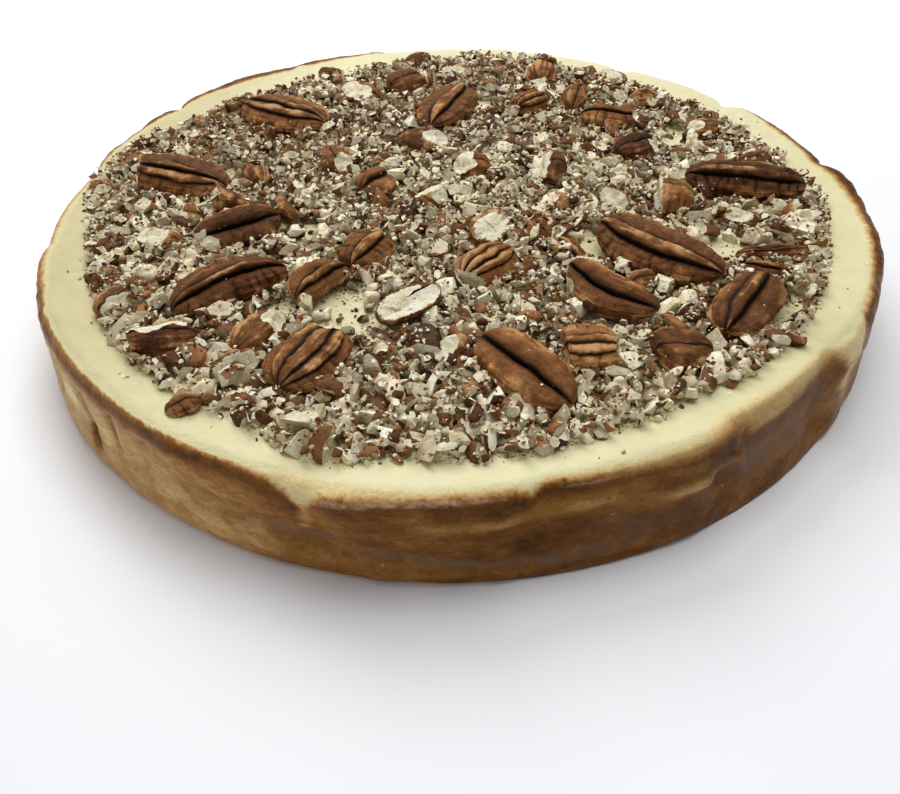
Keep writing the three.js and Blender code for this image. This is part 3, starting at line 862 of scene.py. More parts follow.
# Smaller loose bits: middle, then length, width, height and the height of the underside, in mm
pecanBits = [
    {"at": (82, -45), "size": (14, 6, 5, 26), "heading": -22, "kind": "dorsal", "tone": 0.45},
    {"at": (48, -50), "size": (7.5, 6.5, 6, 26), "heading": 20, "kind": "lump", "tone": 0.5},
    {"at": (79, -71), "size": (9, 4, 4, 25), "heading": -34, "kind": "smooth", "tone": 0.1,
     "trims": [(90, 50, 0.3)]},
    {"at": (30, -8), "size": (9, 6, 5, 26), "heading": -34, "kind": "bit", "tone": 0.4,
     "cuts": [(200, 40, 0.6)]},
    {"at": (24, -23), "size": (8.5, 6, 5, 26), "heading": -64, "kind": "lump", "tone": 0.5},
    {"at": (-61, -92), "size": (8, 6, 4.5, 25.5), "heading": 32, "kind": "lump", "tone": 0.35},
    {"at": (15, -94), "size": (10, 6.5, 5, 25), "heading": -23, "kind": "bit", "tone": 0.6,
     "cuts": [(270, 50, 0.4)]},
    {"at": (-12, 104), "size": (12, 7, 5, 25.5), "heading": 39, "kind": "lump", "tone": 0.3},
    {"at": (32, -34), "size": (15, 7, 5, 25.5), "heading": -65, "kind": "dorsal", "tone": 0.5},
    {"at": (-52, -79), "size": (13, 6.5, 6, 25.5), "heading": 40, "kind": "bit", "tone": 0.4,
     "cuts": [(270, 30, 0.3)]},
    {"at": (-87, -53), "size": (11, 8, 6, 25), "heading": 60, "kind": "lump", "tone": 0.4,
     "cuts": [(250, 40, 0.6)]},
    {"at": (-95, 24), "size": (12, 8, 7, 25), "heading": 70, "kind": "bit", "tone": 0.6,
     "cuts": [(20, 50, 0.4)]},
    {"at": (-76, 66), "size": (10, 7, 5, 25.5), "heading": 50, "kind": "lump", "tone": 0.3},
    {"at": (60, 82), "size": (12, 8, 5, 25.5), "heading": -30, "kind": "bit", "tone": 0.5,
     "cuts": [(250, 50, 0.5)]},
    {"at": (2, 88), "size": (11, 8, 6, 25.5), "heading": 20, "kind": "bit", "tone": 0.6,
     "cuts": [(240, 50, 0.2)]},
    {"at": (-45, 92), "size": (9, 7, 5, 25.5), "heading": 0, "kind": "lump", "tone": 0.3},
    {"at": (95, 16), "size": (11, 7, 5, 25.5), "heading": 15, "kind": "lump", "tone": 0.4},
    {"at": (97, -16), "size": (11, 7, 6, 25), "heading": 60, "kind": "bit", "tone": 0.6,
     "cuts": [(280, 40, 0.4)]},
]

pecanForm = {
    "tips": (2.6, 3.4, 0.52),  # how bluntly the front and the back end close, and their roundness
    "underside": 0.38,  # share of the height that lies below the widest line
    "sideLobe": 72,  # degrees that the outermost lobes take up
    "converge": 0.3,  # how far the grooves draw together at the ends
    "mesh": {"long": (128, 84), "short": (72, 48)},
    "shortLimit": 16,
    "uneven": 0.06,  # how much the outline varies
    "drift": 6,  # degrees that all the grooves wander together
    "wander": (5, 2),  # degrees that each groove wanders by itself, widely and closely
    "creases": (2.9, 0.13),  # mm between the creases across a piece, and their width as a share of it
    "crumple": 0.5,  # heights in mm, from here on
    "crease": 0.65,
    "thread": 0.22,
    "knob": 0.28,
    "lump": 1.2,
    "broken": (1.3, 0.5),
    # What a kind or a piece may set for itself
    "lobe": 0.62,  # the lower, the rounder the lobes between the grooves
    "slit": 4.5,  # degrees of a groove's dark bottom
    "front": 1,  # share of the front and of the back half that is left
    "back": 1,
    "roll": 0,
    "pitch": 0,
    "bend": 0,
    "cuts": [],
    "trims": [],
    "ribs": None,  # mm between the ribs of the broken face, and their depth
}
bitSeed = 60


def headingBox(nodeName, heading):
    # a node's box along its own heading, in mm
    turn = Matrix.Rotation(-math.radians(heading), 3, "Z")
    corners = np.array([turn @ v.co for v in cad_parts[nodeName].data.vertices]) / mm
    return corners.min(axis=0), corners.max(axis=0)


def noiseOver(x, y, z):
    # Perlin noise at many places at once
    parts = [part.ravel() for part in np.broadcast_arrays(x, y, z)]
    return np.array([noise.noise(Vector(spot)) for spot in zip(*parts)])


def grooveField(own, u, s, phi, shift):
    # what the grooves take away, as a share of the half width, and how dark they are
    dent = np.zeros(len(u))
    dark = np.zeros(len(u))
    drift = own["drift"] * noiseOver(u * 1.6, shift, 1.0)
    widely, closely = own["wander"]
    centres = []
    for at, depth in own["grooves"]:
        wander = widely * noiseOver(u * 2.4, shift, at) + closely * noiseOver(u * 7, shift, at + 4)
        centres.append(90 + (at - 90) * (1 - own["converge"] * u * u) + drift + wander)
    reach = 2 * own["sideLobe"]
    for k, (at, depth) in enumerate(own["grooves"]):
        centre = centres[k]
        below = centre - centres[k - 1] if k > 0 else reach
        above = centres[k + 1] - centre if k + 1 < len(centres) else reach
        away = np.abs(phi - centre)
        share = away / np.where(phi > centre, above, below)
        deep = depth * (1 + 0.45 * noiseOver(s / 5, at, shift))
        fall = deep * (1 - np.sin(math.pi * np.minimum(share, 0.5)) ** own["lobe"])
        dent = np.maximum(dent, fall)
        dark = np.maximum(dark, np.exp(-(away / own["slit"]) ** 1.5) * np.minimum(1, deep * 3.2))
    return dent, dark


def wrinkleField(own, s, a, phi, girth, shift):
    # creases across the flanks, threads along the lobes, lumps and knobs, all in mm
    flank = own["wrinkle"] * (0.35 + 0.65 * smoothStep(20, 50, np.abs(phi - 90)))
    warp = noiseOver(s / 4, a / 4, shift + 21)
    spacing, width = own["creases"]
    stride = (s + 1.1 * warp + 1.6 * noiseOver(s / 7, shift, 2.0)) / spacing
    across = np.abs(stride - np.round(stride))
    crease = np.exp(-(across / width) ** 2) * smoothStep(-0.45, 0.25, noiseOver(s / 4, a / 5, shift + 30))
    crumple = noiseOver(s / 1.7, a / 4, shift + 5)
    thread = noiseOver(s / 8, a / 0.9, shift + 9) * smoothStep(0.1, 0.6, girth)
    lump = noiseOver(s / 5.5, a / 4.5, shift + 13)
    knob = noiseOver(s / 2.1, a / 2.1, shift + 17)
    relief = flank * (own["crumple"] * crumple - own["crease"] * crease)
    relief = relief + own["thread"] * thread + own["knob"] * knob + own["lump"] * own["lumps"] * lump
    high = smoothStep(-0.25, 0.5, lump + 0.8 * thread + 0.5 * crumple)
    return relief, np.minimum(0.5, 0.5 * flank * crease), high, warp


def breakPecan(own, spots, plain, half, warp, shift):
    # broken faces: what lies past each one is drawn back to it
    flesh = np.zeros(len(spots))
    wide, fine = own["broken"]
    faces = [(*cut, 1) for cut in own["cuts"]] + [(*trim, 0) for trim in own["trims"]]
    for facing, lift, share, isFlesh in faces:
        turn, rise = math.radians(facing), math.radians(lift)
        normal = np.array([math.cos(turn) * math.cos(rise), math.sin(turn) * math.cos(rise), math.sin(rise)])
        out = (spots / half) @ normal
        plainOut = (plain / half) @ normal
        drawn = plain * np.where(plainOut > share, share / np.maximum(plainOut, 0.05), 1)[:, None]
        rough = wide * noiseOver(*(drawn / 5 + shift).T) + fine * noiseOver(*(drawn / 2 - shift).T)
        rough = rough * min(1, 0.3 + share)
        if own["ribs"]:
            spacing, depth = own["ribs"]
            rough -= depth * np.abs(np.sin(math.pi * drawn[:, 0] / spacing + 0.6 * warp))
        limit = np.maximum(0.05, share + rough / half[0, 1])
        past = plainOut > limit
        back = np.where(past, limit / np.where(past, np.maximum(out, 0.05), 1), 1)
        spots = spots * np.minimum(back, 1)[:, None]
        plain = plain * np.where(past, limit / np.where(past, plainOut, 1), 1)[:, None]
        flesh = np.where(past, isFlesh, flesh)
    return spots, flesh


def sculptPecan(coords, own, seed, size):
    # a round of radius 1 shaped into a piece of a size in mm, that lies along x
    length, width, height = size
    u = np.clip(coords[:, 0], -1, 1)
    phi = np.degrees(np.arctan2(coords[:, 2], coords[:, 1]))
    phi = np.where(phi < -90, phi + 360, phi)  # 90 on top, 0 and 180 at the sides
    up = np.sin(np.radians(phi))
    side = np.cos(np.radians(phi))
    s = u * length / 2
    a = np.radians(phi) * width / 2
    shift = seed * 7.31
    frontPower, backPower, roundness = own["tips"]
    girth = (1 - np.abs(u) ** np.where(u > 0, frontPower, backPower)) ** roundness
    girth = girth * (1 + own["uneven"] * noiseOver(u * 2.2, side, up + shift))
    dent, dark = grooveField(own, u, s, phi, shift)
    relief, creased, high, warp = wrinkleField(own, s, a, phi, girth, shift)
    dark = np.maximum(dark, creased)
    # ridge tops, which the skin paints paler: worn skin, and a painted sheen
    ridgeWearAndSheen = np.clip(1 - dent * 6, 0, 1) * high

    rho = girth * (1 - dent * (1 - np.abs(u) ** 10))
    halfHeight = height * np.where(up > 0, 1 - own["underside"], own["underside"])
    relief = relief * np.sqrt(girth) * (1 - 0.6 * dark)
    plain = np.stack([s, side * rho * width / 2, up * rho * halfHeight], axis=1)
    spots = np.stack([s, side * (rho * width / 2 + relief), up * (rho * halfHeight + relief)], axis=1)
    half = np.stack([np.full(len(u), length / 2), np.full(len(u), width / 2), halfHeight], axis=1)
    spots, flesh = breakPecan(own, spots, plain, half, warp, shift)
    spots[:, 1] += own["bend"] * (1 - 2 * u ** 2)
    return spots, {"dark": dark * (1 - flesh), "flesh": flesh, "ridgeWearAndSheen": ridgeWearAndSheen}


def shapePecan(name, look, seed, low, high, material):
    # a piece that fills the box from low to high along its own heading, in mm
    own = {**pecanForm, **pecanKinds[look["kind"]], **look}
    whole = 2 / (own["front"] + own["back"])  # whole length over what is left of it
    size = high - low
    segments, rings = own["mesh"]["short" if size[0] < own["shortLimit"] else "long"]
    deselectAll()
    lying = (0, math.pi / 2, 0)
    bpy.ops.mesh.primitive_uv_sphere_add(segments=segments, ring_count=rings, radius=1, rotation=lying)
    obj = bpy.context.object
    obj.name = name
    bpy.ops.object.transform_apply(rotation=True)
    mesh = obj.data
    coords, fields = sculptPecan(coordsOf(mesh), own, seed, (size[0] * whole, size[1], size[2]))
    pitch = Matrix.Rotation(-math.radians(own["pitch"]), 3, "Y")
    roll = Matrix.Rotation(math.radians(own["roll"]), 3, "X")
    coords = coords @ np.array(pitch @ roll).T
    nowLow, nowHigh = coords.min(axis=0), coords.max(axis=0)
    coords = low + (coords - nowLow) * (size / (nowHigh - nowLow))
    heading = Matrix.Rotation(math.radians(own["heading"]), 3, "Z")
    setCoords(mesh, coords @ np.array(heading).T * mm)
    for field, values in fields.items():
        addAttribute(mesh, field, values)
    addAttribute(mesh, "tone", np.full(len(coords), own["tone"]))
    shadeSmooth(mesh)
    mesh.materials.append(material)
    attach(obj, "root")
    return obj


def makePecan(index, look, material):
    node = f"pecan_{index:02d}"
    low, high = headingBox(node, look["heading"])
    obj = shapePecan(f"pecanPiece{index:02d}", look, index, low, high, material)
    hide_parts(node)


def makeBit(index, look, material):
    length, width, height, bottom = look["size"]
    turn = Matrix.Rotation(-math.radians(look["heading"]), 3, "Z")
    middle = np.array(turn @ Vector((*look["at"], bottom + height / 2)))
    half = np.array((length, width, height)) / 2
    obj = shapePecan(f"pecanBit{index:02d}", look, index + bitSeed, middle - half, middle + half, material)


nutLook = {
    # Each pattern's scale, detail, roughness and distortion
    "threads": (1.6, 5, 0.7, 0.3),
    "threadStretch": (34, 5, 1),  # threads across a piece and along it
    "blotch": (240, 4, 0.6),
    "grain": (1300, 4, 0.65),
    "crackle": (620, 5, 0.72, 1.2),
    "crackWidth": 0.05,
    # How much lighter the skin gets by each of these
    "byTone": 0.5,
    "byThreads": 0.34,
    "byBlotch": 0.52,
    # lighter ridge tops: worn skin, and a painted sheen
    "byRidgeWearAndSheen": 0.4,
    "byCracks": -0.1,
    "skin": [
        (0.08, (44, 25, 12)), (0.26, (80, 48, 25)), (0.44, (118, 75, 41)), (0.62, (158, 106, 59)),
        (0.82, (206, 154, 98)),
    ],
    # pale dust flecks, which also stand for painted glints on the ridges
    "dustAndGlints": (214, 184, 146),
    "groove": (20, 11, 6),
    "gloss": 0.09,
    "bumps": [(0.6, 0.0005), (0.7, 0.0008), (0.5, 0.0004)],  # of threads, crackle and grain
    "flesh": [
        (0.26, (156, 120, 76)), (0.35, (222, 205, 160)), (0.47, (247, 238, 204)), (0.66, (255, 251, 232)),
    ],
    "fleshDust": (1500, 3, 0.6),
    "fleshDustColour": (112, 72, 38),
}


def fleshColour(tree, place, scale):
    # ivory, broken nut with browner hollows and brown dust
    ivory = rampNode(tree, noiseNode(tree, place, scale, 5, 0.65), nutLook["flesh"])
    dust = rangeNode(tree, noiseNode(tree, place, *nutLook["fleshDust"]), 0.61, 0.69, 0, 0.7)
    return mixNode(tree, dust, ivory, nutLook["fleshDustColour"])


def pecanMaterial():
    look = nutLook
    material, tree, shader = newMaterial("pecanSkinAndFlesh")
    place = coordinates(tree)
    stretched = mappingNode(tree, coordinates(tree, "UV"), look["threadStretch"])
    threads = noiseNode(tree, stretched, *look["threads"])
    blotch = noiseNode(tree, place, *look["blotch"])
    grain = noiseNode(tree, place, *look["grain"])
    crackle = noiseNode(tree, place, *look["crackle"])
    ridgeWearAndSheen = attributeNode(tree, "ridgeWearAndSheen")
    offMiddle = mathNode(tree, "ABSOLUTE", mathNode(tree, "SUBTRACT", crackle, 0.5))
    crack = rangeNode(tree, offMiddle, 0.0, look["crackWidth"], 1, 0)
    level = addUp(
        tree,
        times(tree, attributeNode(tree, "tone"), look["byTone"]),
        times(tree, threads, look["byThreads"]),
        swing(tree, blotch, look["byBlotch"]),
        times(tree, addUp(tree, ridgeWearAndSheen, 0.16), look["byRidgeWearAndSheen"]),
        times(tree, crack, look["byCracks"]),
    )
    skin = rampNode(tree, level, look["skin"])
    # pale dust flecks and painted glints, most on the ridges
    dustAndGlints = addUp(tree, grain, times(tree, ridgeWearAndSheen, 0.15), swing(tree, blotch, 0.3))
    skin = mixNode(tree, rangeNode(tree, dustAndGlints, 0.66, 0.78, 0, 0.7), skin, look["dustAndGlints"])
    dark = rangeNode(tree, attributeNode(tree, "dark"), 0.06, 0.6, 0, 0.95)
    skin = mixNode(tree, dark, skin, look["groove"])
    isFlesh = addUp(tree, attributeNode(tree, "flesh"), times(tree, blotch, 0.5))
    isFlesh = rangeNode(tree, isFlesh, 0.72, 0.8)
    plug(tree, shader, "Base Color", mixNode(tree, isFlesh, skin, fleshColour(tree, place, 300)))
    plug(tree, shader, "Roughness", rangeNode(tree, addUp(tree, threads, isFlesh), 0.3, 1.4, 0.4, 0.75))
    plug(tree, shader, "Specular IOR Level", look["gloss"])
    patterns = (threads, crackle, grain)
    plugBumps(tree, shader, *[(pattern, *bump) for pattern, bump in zip(patterns, look["bumps"])])
    return material


pecanFinish = pecanMaterial()
for index, look in enumerate(pecanLooks):
    makePecan(index + 1, look, pecanFinish)
for index, look in enumerate(pecanBits):
    makeBit(index + 1, look, pecanFinish)
print("large pecans made:", len(pecanLooks), "and smaller bits:", len(pecanBits))


chopped = {
    "grid": 0.5,  # mm between the points of the height map
    "half": 118,
    "reach": 114,  # mm, past which nothing is dropped
    "floor": 20,  # mm, the lowest that a chip may lie
    "front": -62,  # mm, in front of which the chips are larger
    "frontGrowth": 1.35,
    "browner": (20, 0.2),  # mm, behind which more of the chips have skin, and how many more
    "sizePower": 1.7,  # the higher, the more of them are small
    "tilt": 0.32,  # radians, how unevenly they lie
    "support": 62,  # percentile of the heights under a piece that it rests on
    "settle": 0.18,  # share of its height that it sinks in
    "smoothAngle": 38,
    "tries": 4,
    "bareCrumbs": 0.25,
    "strays": (0.05, 2, 0.35),  # share of the crumbs past the edge, how far at least, how fast they thin out
    "onPecans": (0.8, 0.1),  # crumbs shorter than this also lie on large pecans, at this share of the tries
    "large": {
        "voxel": 0.62,
        "sink": 1.2,
        "clear": 0.35,  # mm over the body, under which a face isn't a chip's
        "slopeClear": 2.4,  # the same on the slope of the lip
        "slope": 99,
        "edge": 111.5,
        "pastEdge": 2,
        "alike": (0.9, 0.86),  # how near a face's direction is to the body's, on the flat and on the slope
        # name, kind, size and height in mm of each roughness
        "rough": [
            ("chipLumps", "CLOUDS", 3.0, 3.2),
            ("chipFacets", "VORONOI", 2.2, 1.5),
            ("chipPits", "CLOUDS", 1.0, 0.9),
        ],
        "skinPatch": 10,
        "skinEdge": (1.5, 0.12),
        "tonePatch": 6,
    },
    "medium": {
        "seed": 31, "kinds": 14, "faces": 64, "count": 2100, "length": (3.4, 8.5), "skinned": 0.8, "roof": 31,
        "crowd": 0.3,
    },
    "small": {
        "seed": 57, "kinds": 12, "faces": 44, "count": 4300, "length": (1.6, 3.8), "skinned": 0.7, "roof": 30.4,
        "crowd": 0.45,
    },
    "crumbs": {
        "seed": 83, "kinds": 5, "faces": 20, "count": 9400, "length": (0.5, 1.5), "skinned": 0.5, "roof": 36,
    },
    "chip": {
        "width": (0.45, 0.85), "height": (0.34, 0.6), "breaks": (4, 5, 6), "breakAt": (0.06, 0.26),
        "rumple": (3.1, 0.1), "plainFaces": 20,
    },
}


def roughen(obj, name, kind, size, strength):
    texture = bpy.data.textures.new(name, kind)
    texture.noise_scale = size * mm
    modifier = obj.modifiers.new(name, "DISPLACE")
    modifier.texture = texture
    modifier.texture_coords = "LOCAL"
    modifier.strength = strength * mm
    modifier.mid_level = 0.5
    bpy.ops.object.modifier_apply(modifier=name)


def isChipFace(polygon, bodyTree, setting):
    # whether a face of the solid cake belongs to a chip, and not to the body under it
    centre = polygon.center
    near, normal, index, distance = bodyTree.find_nearest(centre)
    away = math.hypot(centre.x, centre.y)
    onSlope = away > setting["slope"] * mm
    clear = setting["slopeClear" if onSlope else "clear"]
    onBody = distance < clear * mm and normal.dot(polygon.normal) > setting["alike"][onSlope]
    turn = math.degrees(math.atan2(centre.y, centre.x))
    edge = min(setting["edge"], float(roundInterpolate(turn, nutEdge)) + setting["pastEdge"])
    return not onBody and away <= edge * mm and centre.z >= chopped["floor"] * mm


def makeLargeChips(bodyTree):
    # the chips of the solid cake, lifted off it, closed below and given a rough surface
    setting = chopped["large"]
    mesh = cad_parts["cake"].data.copy()
    obj = bpy.data.objects.new("choppedPecansLarge", mesh)
    bpy.context.scene.collection.objects.link(obj)
    editMode(obj)
    bpy.ops.mesh.customdata_custom_splitnormals_clear()
    bpy.ops.mesh.remove_doubles(threshold=1e-5)
    bpy.ops.mesh.select_mode(type="FACE")
    bpy.ops.mesh.select_all(action="DESELECT")
    objectMode()
    for polygon in mesh.polygons:
        polygon.select = not isChipFace(polygon, bodyTree, setting)
    bpy.ops.object.mode_set(mode="EDIT")
    bpy.ops.mesh.delete(type="FACE")
    bpy.ops.mesh.select_mode(type="EDGE")
    bpy.ops.mesh.select_all(action="DESELECT")
    bpy.ops.mesh.select_non_manifold()
    bpy.ops.mesh.extrude_region_move(TRANSFORM_OT_translate={"value": (0, 0, -setting["sink"] * mm)})
    bpy.ops.mesh.select_all(action="SELECT")
    bpy.ops.mesh.fill_holes(sides=0)
    bpy.ops.mesh.normals_make_consistent(inside=False)
    objectMode()
    remesh = obj.modifiers.new("remesh", "REMESH")
    remesh.mode = "VOXEL"
    remesh.voxel_size = setting["voxel"] * mm
    remesh.use_smooth_shade = True
    bpy.ops.object.modifier_apply(modifier="remesh")
    for rough in setting["rough"]:
        roughen(obj, *rough)
    edgeSize, edgeAmount = setting["skinEdge"]
    skin, tone = [], []
    for vertex in obj.data.vertices:
        spot = vertex.co / mm
        facing = noise.noise_vector(spot / setting["skinPatch"])
        skin.append(vertex.normal.dot(facing) + edgeAmount * noise.noise(spot / edgeSize))
        tone.append(0.5 + 0.5 * noise.noise(spot / setting["tonePatch"]))
    addAttribute(obj.data, "skin", smoothStep(0.12, 0.17, np.array(skin)))
    addAttribute(obj.data, "tone", tone)
    return obj


def chipKind(faces, draw):
    # one broken chip about a unit across: its points, its triangles, and which of them are broken flesh
    form = chopped["chip"]
    broken = faces > form["plainFaces"]
    deselectAll()
    bpy.ops.mesh.primitive_ico_sphere_add(subdivisions=2 if broken else 1, radius=0.5, location=(0, 0, 0))
    obj = bpy.context.object
    mesh = obj.data
    planes = []
    editMode(obj)
    bpy.ops.transform.resize(value=(1, draw.uniform(*form["width"]), draw.uniform(*form["height"])))
    for _ in range(draw.choice(form["breaks"]) if broken else 0):
        normal = Vector((draw.gauss(0, 0.7), draw.gauss(0, 1), draw.gauss(0.3, 1))).normalized()
        place = normal * draw.uniform(*form["breakAt"])
        planes.append((place, normal))
        bpy.ops.mesh.select_all(action="SELECT")
        bpy.ops.mesh.bisect(plane_co=place, plane_no=normal, use_fill=True, clear_outer=True)
    bpy.ops.mesh.select_all(action="SELECT")
    bpy.ops.mesh.quads_convert_to_tris()
    bpy.ops.mesh.normals_make_consistent(inside=False)
    objectMode()
    if len(mesh.polygons) > faces:
        obj.modifiers.new("fewer", "DECIMATE").ratio = faces / len(mesh.polygons)
        bpy.ops.object.modifier_apply(modifier="fewer")
    flesh = [any(abs((p.center - place).dot(normal)) < 0.02 for place, normal in planes) for p in mesh.polygons]
    coords = coordsOf(mesh)
    often, far = form["rumple"]
    shift = Vector((draw.uniform(0, 90), 0, 0))
    for i, spot in enumerate(coords):
        coords[i] += np.array(noise.noise_vector(Vector(spot) * often + shift)) * far
    coords -= (coords.max(axis=0) + coords.min(axis=0)) / 2
    coords /= (coords.max(axis=0) - coords.min(axis=0)).max()
    triangles = np.array([p.vertices[:] for p in mesh.polygons])
    bpy.data.objects.remove(obj)
    return coords, triangles, np.array(flesh)


class HeightMap:
    # heights over the cake's top on a square grid, in mm, and which points the large pecans cover
    def __init__(self):
        self.step = chopped["grid"]
        self.half = chopped["half"]
        self.count = int(2 * self.half / self.step)
        self.centres = -self.half + (np.arange(self.count) + 0.5) * self.step
        self.height = np.full((self.count, self.count), -1.0)
        self.blocked = np.zeros((self.count, self.count), bool)

    def cast(self, tree, low, high):
        # the highest point of a tree at each grid point of a box
        found = []
        columns = np.nonzero((self.centres > low[0]) & (self.centres < high[0]))[0]
        rows = np.nonzero((self.centres > low[1]) & (self.centres < high[1]))[0]
        for i in columns:
            for j in rows:
                x, y = self.centres[i], self.centres[j]
                if x * x + y * y > self.half ** 2:
                    continue
                hit = tree.ray_cast(Vector((x, y, 60)) * mm, Vector((0, 0, -1)))[0]
                if hit:
                    found.append((i, j, hit.z / mm))
        return found

    def cell(self, x, y):
        return int((x + self.half) / self.step), int((y + self.half) / self.step)

    def window(self, x, y, reach):
        low, front = [max(0, place) for place in self.cell(x - reach, y - reach)]
        high, back = [min(self.count, place + 2) for place in self.cell(x + reach, y + reach)]
        return slice(low, high), slice(front, back)


def makeHeightMap(bodyTree, chipTree):
    heights = HeightMap()
    whole = ((-heights.half, -heights.half), (heights.half, heights.half))
    for tree in (bodyTree, chipTree):
        for i, j, z in heights.cast(tree, *whole):
            heights.height[i, j] = max(heights.height[i, j], z)
    heights.pecans = heights.height.copy()
    for name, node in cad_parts.items():
        if name != "cake":
            low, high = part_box(name)
            for i, j, z in heights.cast(treeOf(node), low / mm, high / mm):
                heights.blocked[i, j] = True
                heights.pecans[i, j] = z
    return heights


def findSpot(draw, heights, length, isCrumb):
    # the lowest of a few free places for a piece of that length
    best = None
    tries = 1 if isCrumb else chopped["tries"]
    strayShare, strayLeast, strayFall = chopped["strays"]
    tiny, onPecan = chopped["onPecans"]
    for _ in range(tries * 4):
        turn = draw.uniform(0, 360)
        edge = float(roundInterpolate(turn, nutEdge)) - length / 2
        if isCrumb and draw.random() < strayShare:
            edge += strayLeast + draw.expovariate(strayFall)
        distance = edge * math.sqrt(draw.random())
        x = distance * math.cos(math.radians(turn))
        y = distance * math.sin(math.radians(turn))
        if max(abs(x), abs(y)) > chopped["reach"]:
            continue
        cell = heights.cell(x, y)
        if heights.blocked[cell]:
            if isCrumb and length < tiny and draw.random() < onPecan:
                return x, y
            continue
        bare = [share for px, py, reach, share in barePatches if math.hypot(x - px, y - py) < reach]
        if bare and draw.random() > (chopped["bareCrumbs"] if isCrumb else bare[0]):
            continue
        height = heights.height[cell]
        if best is None or height < best[0]:
            best = (height, x, y)
        tries -= 1
        if tries == 0:
            break
    return best and best[1:]


def placePiece(draw, setting, heights, kinds, isCrumb):
    # one piece dropped on what already lies there: its points and faces, or None where it has no room
    shortest, longest = setting["length"]
    length = shortest + (longest - shortest) * draw.random() ** chopped["sizePower"]
    spot = findSpot(draw, heights, length, isCrumb)
    if spot is None:
        return None
    x, y = spot
    if y < chopped["front"] and not isCrumb:
        length *= chopped["frontGrowth"]
    coords, faces, flesh = kinds[draw.randrange(len(kinds))]
    yaw = Matrix.Rotation(draw.uniform(0, 2 * math.pi), 3, "Z")
    tilt = Matrix.Rotation(draw.gauss(0, chopped["tilt"]), 3, "X")
    tilt = tilt @ Matrix.Rotation(draw.gauss(0, chopped["tilt"]), 3, "Y")
    flip = Matrix.Rotation(math.pi * draw.randrange(2), 3, "X")
    placed = coords @ np.array(yaw @ tilt @ flip).T * length
    reach = max(0.4, length * 0.45)
    window = heights.window(x, y, reach)
    dx = heights.centres[window[0]][:, None] - x
    dy = heights.centres[window[1]][None, :] - y
    away = dx ** 2 + dy ** 2
    inside = (away < reach ** 2) & ~heights.blocked[window]
    area = heights.height[window]
    if isCrumb and heights.blocked[heights.cell(x, y)]:
        base = heights.pecans[heights.cell(x, y)]
    elif inside.any() and area[inside].min() > chopped["floor"]:
        base = np.percentile(area[inside], chopped["support"])
    else:
        return None
    low, high = placed[:, 2].min(), placed[:, 2].max()
    rest = base - low - chopped["settle"] * (high - low)
    crowded = not isCrumb and heights.blocked[window].mean() > setting["crowd"]
    if rest + high > setting["roof"] or crowded:
        return None
    if not isCrumb:
        dome = rest + high * np.sqrt(np.clip(1 - away / reach ** 2, 0, 1))
        area[inside] = np.maximum(area, dome)[inside]
    behind, more = chopped["browner"]
    skinned = draw.random() < setting["skinned"] + (more if y > behind else 0)
    tone = np.full(len(faces), draw.random())
    return placed + np.array((x, y, rest)), faces, ~flesh & skinned, tone


def dropPieces(name, setting, heights, material):
    # chips dropped one by one, each on what already lies under it, joined in one mesh
    draw = random.Random(setting["seed"])
    kinds = [chipKind(setting["faces"], draw) for _ in range(setting["kinds"])]
    isCrumb = name == "pecanCrumbs"
    pieces = [placePiece(draw, setting, heights, kinds, isCrumb) for _ in range(setting["count"])]
    points, faces, skins, tones = zip(*[piece for piece in pieces if piece])
    starts = np.cumsum([0] + [len(part) for part in points[:-1]])
    corners = np.concatenate([part + start for part, start in zip(faces, starts)])
    mesh = bpy.data.meshes.new(name)
    mesh.from_pydata((np.concatenate(points) * mm).tolist(), [], corners.tolist())
    addAttribute(mesh, "skin", np.concatenate(skins).astype(float), "FACE")
    addAttribute(mesh, "tone", np.concatenate(tones), "FACE")
    obj = bpy.data.objects.new(name, mesh)
    bpy.context.scene.collection.objects.link(obj)
    makeActive(obj)
    bpy.ops.object.shade_smooth_by_angle(angle=math.radians(chopped["smoothAngle"]))
    finishChips(obj, material)
    print(name, "made:", len(points), "pieces,", len(corners), "triangles")


def finishChips(obj, material):
    obj.data.materials.append(material)
    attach(obj, "root")


choppedLook = {
    "fleshScale": 420,
    "greyer": (206, 199, 186),
    "blotch": (500, 4, 0.6),
    "fine": (1700, 3, 0.6),
    "skin": [(0.15, (42, 24, 12)), (0.4, (82, 50, 26)), (0.62, (120, 77, 43)), (0.85, (166, 116, 68))],
    # colour of the painted shade on the chips' feet
    "paintedShadeColour": (118, 94, 70),
    "paintedShadeHeights": (0.0256, 0.0286),  # metres, heights between which the painted shade on the chips' feet fades, so that they get lighter
    "paintedShadeEdge": (0.096, 0.106),  # metres, the radius over which the painted shade ends towards the lip
    "roughness": (0.72, 0.46),  # of flesh and skin
    "gloss": (0.3, 0.12),
    "bumps": [(0.5, 0.0004), (0.4, 0.0007)],  # of fine and blotch
}


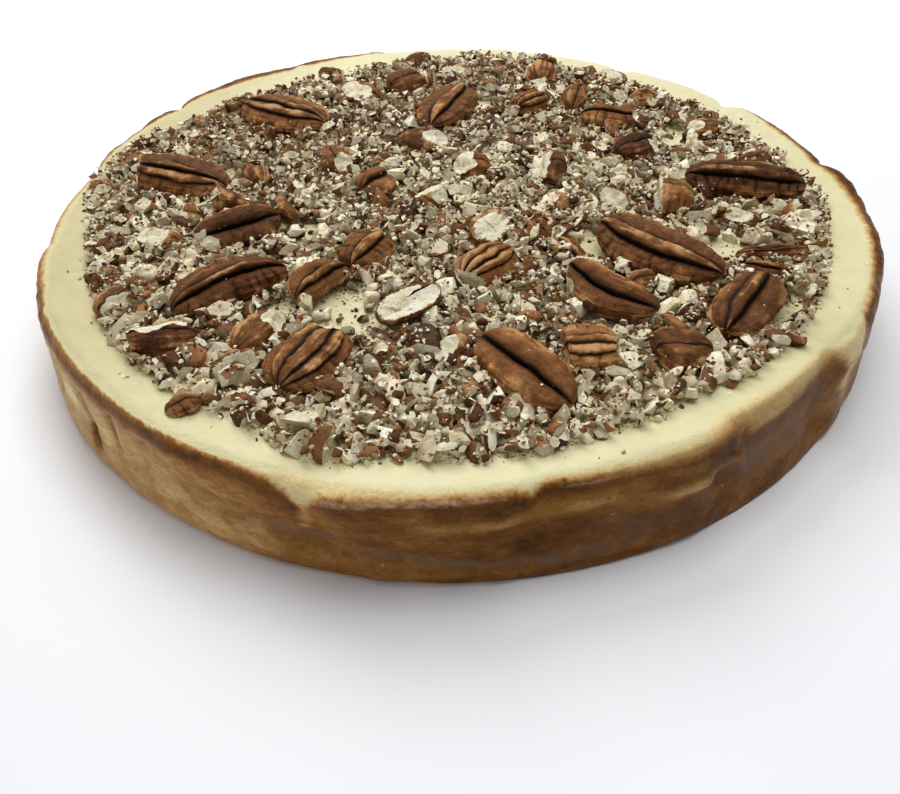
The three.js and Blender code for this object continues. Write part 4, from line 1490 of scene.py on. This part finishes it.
def paintedShadeShare(tree, place):
    # painted shade: 1 down at the cake's top, 0 above the chips, and little of it at the outer edge of the nuts
    parts = addNode(tree, "SeparateXYZ", {"Vector": place}).outputs
    squares = [times(tree, parts[axis], parts[axis]) for axis in "XY"]
    away = mathNode(tree, "SQRT", addUp(tree, *squares))
    inner = rangeNode(tree, away, *choppedLook["paintedShadeEdge"], 1, 0.25)
    return times(tree, rangeNode(tree, parts["Z"], *choppedLook["paintedShadeHeights"], 1, 0), inner)


def choppedMaterial():
    look = choppedLook
    material, tree, shader = newMaterial("choppedPecan")
    place = coordinates(tree)
    ivory = fleshColour(tree, place, look["fleshScale"])
    tone = attributeNode(tree, "tone")
    isSkin = attributeNode(tree, "skin")
    blotch = noiseNode(tree, place, *look["blotch"])
    fine = noiseNode(tree, place, *look["fine"])
    greyer = mixNode(tree, 1.0, ivory, look["greyer"], "MULTIPLY")
    ivory = mixNode(tree, rangeNode(tree, tone, 0.15, 0.95), ivory, greyer)
    skin = rampNode(tree, addUp(tree, times(tree, tone, 0.5), times(tree, blotch, 0.6)), look["skin"])
    colour = mixNode(tree, isSkin, ivory, skin)
    # painted shade in the crevices: the chips' feet are darkened
    creviceShade = addUp(tree, paintedShadeShare(tree, place), swing(tree, blotch, 1.0))
    creviceShade = rangeNode(tree, creviceShade, 0.15, 1.0, 0, 0.85)
    plug(tree, shader, "Base Color", mixNode(tree, creviceShade, colour, look["paintedShadeColour"], "MULTIPLY"))
    plug(tree, shader, "Roughness", rangeNode(tree, isSkin, 0, 1, *look["roughness"]))
    plug(tree, shader, "Specular IOR Level", rangeNode(tree, isSkin, 0, 1, *look["gloss"]))
    plugBumps(tree, shader, *[(pattern, *bump) for pattern, bump in zip((fine, blotch), look["bumps"])])
    return material


bodyTree = treeOf(body)
choppedFinish = choppedMaterial()
largeChips = makeLargeChips(bodyTree)
finishChips(largeChips, choppedFinish)
print("large chips made:", len(largeChips.data.polygons), "faces")
heights = makeHeightMap(bodyTree, treeOf(largeChips))
print("heights measured")
dropPieces("choppedPecansMedium", chopped["medium"], heights, choppedFinish)
dropPieces("choppedPecansSmall", chopped["small"], heights, choppedFinish)
dropPieces("pecanCrumbs", chopped["crumbs"], heights, choppedFinish)
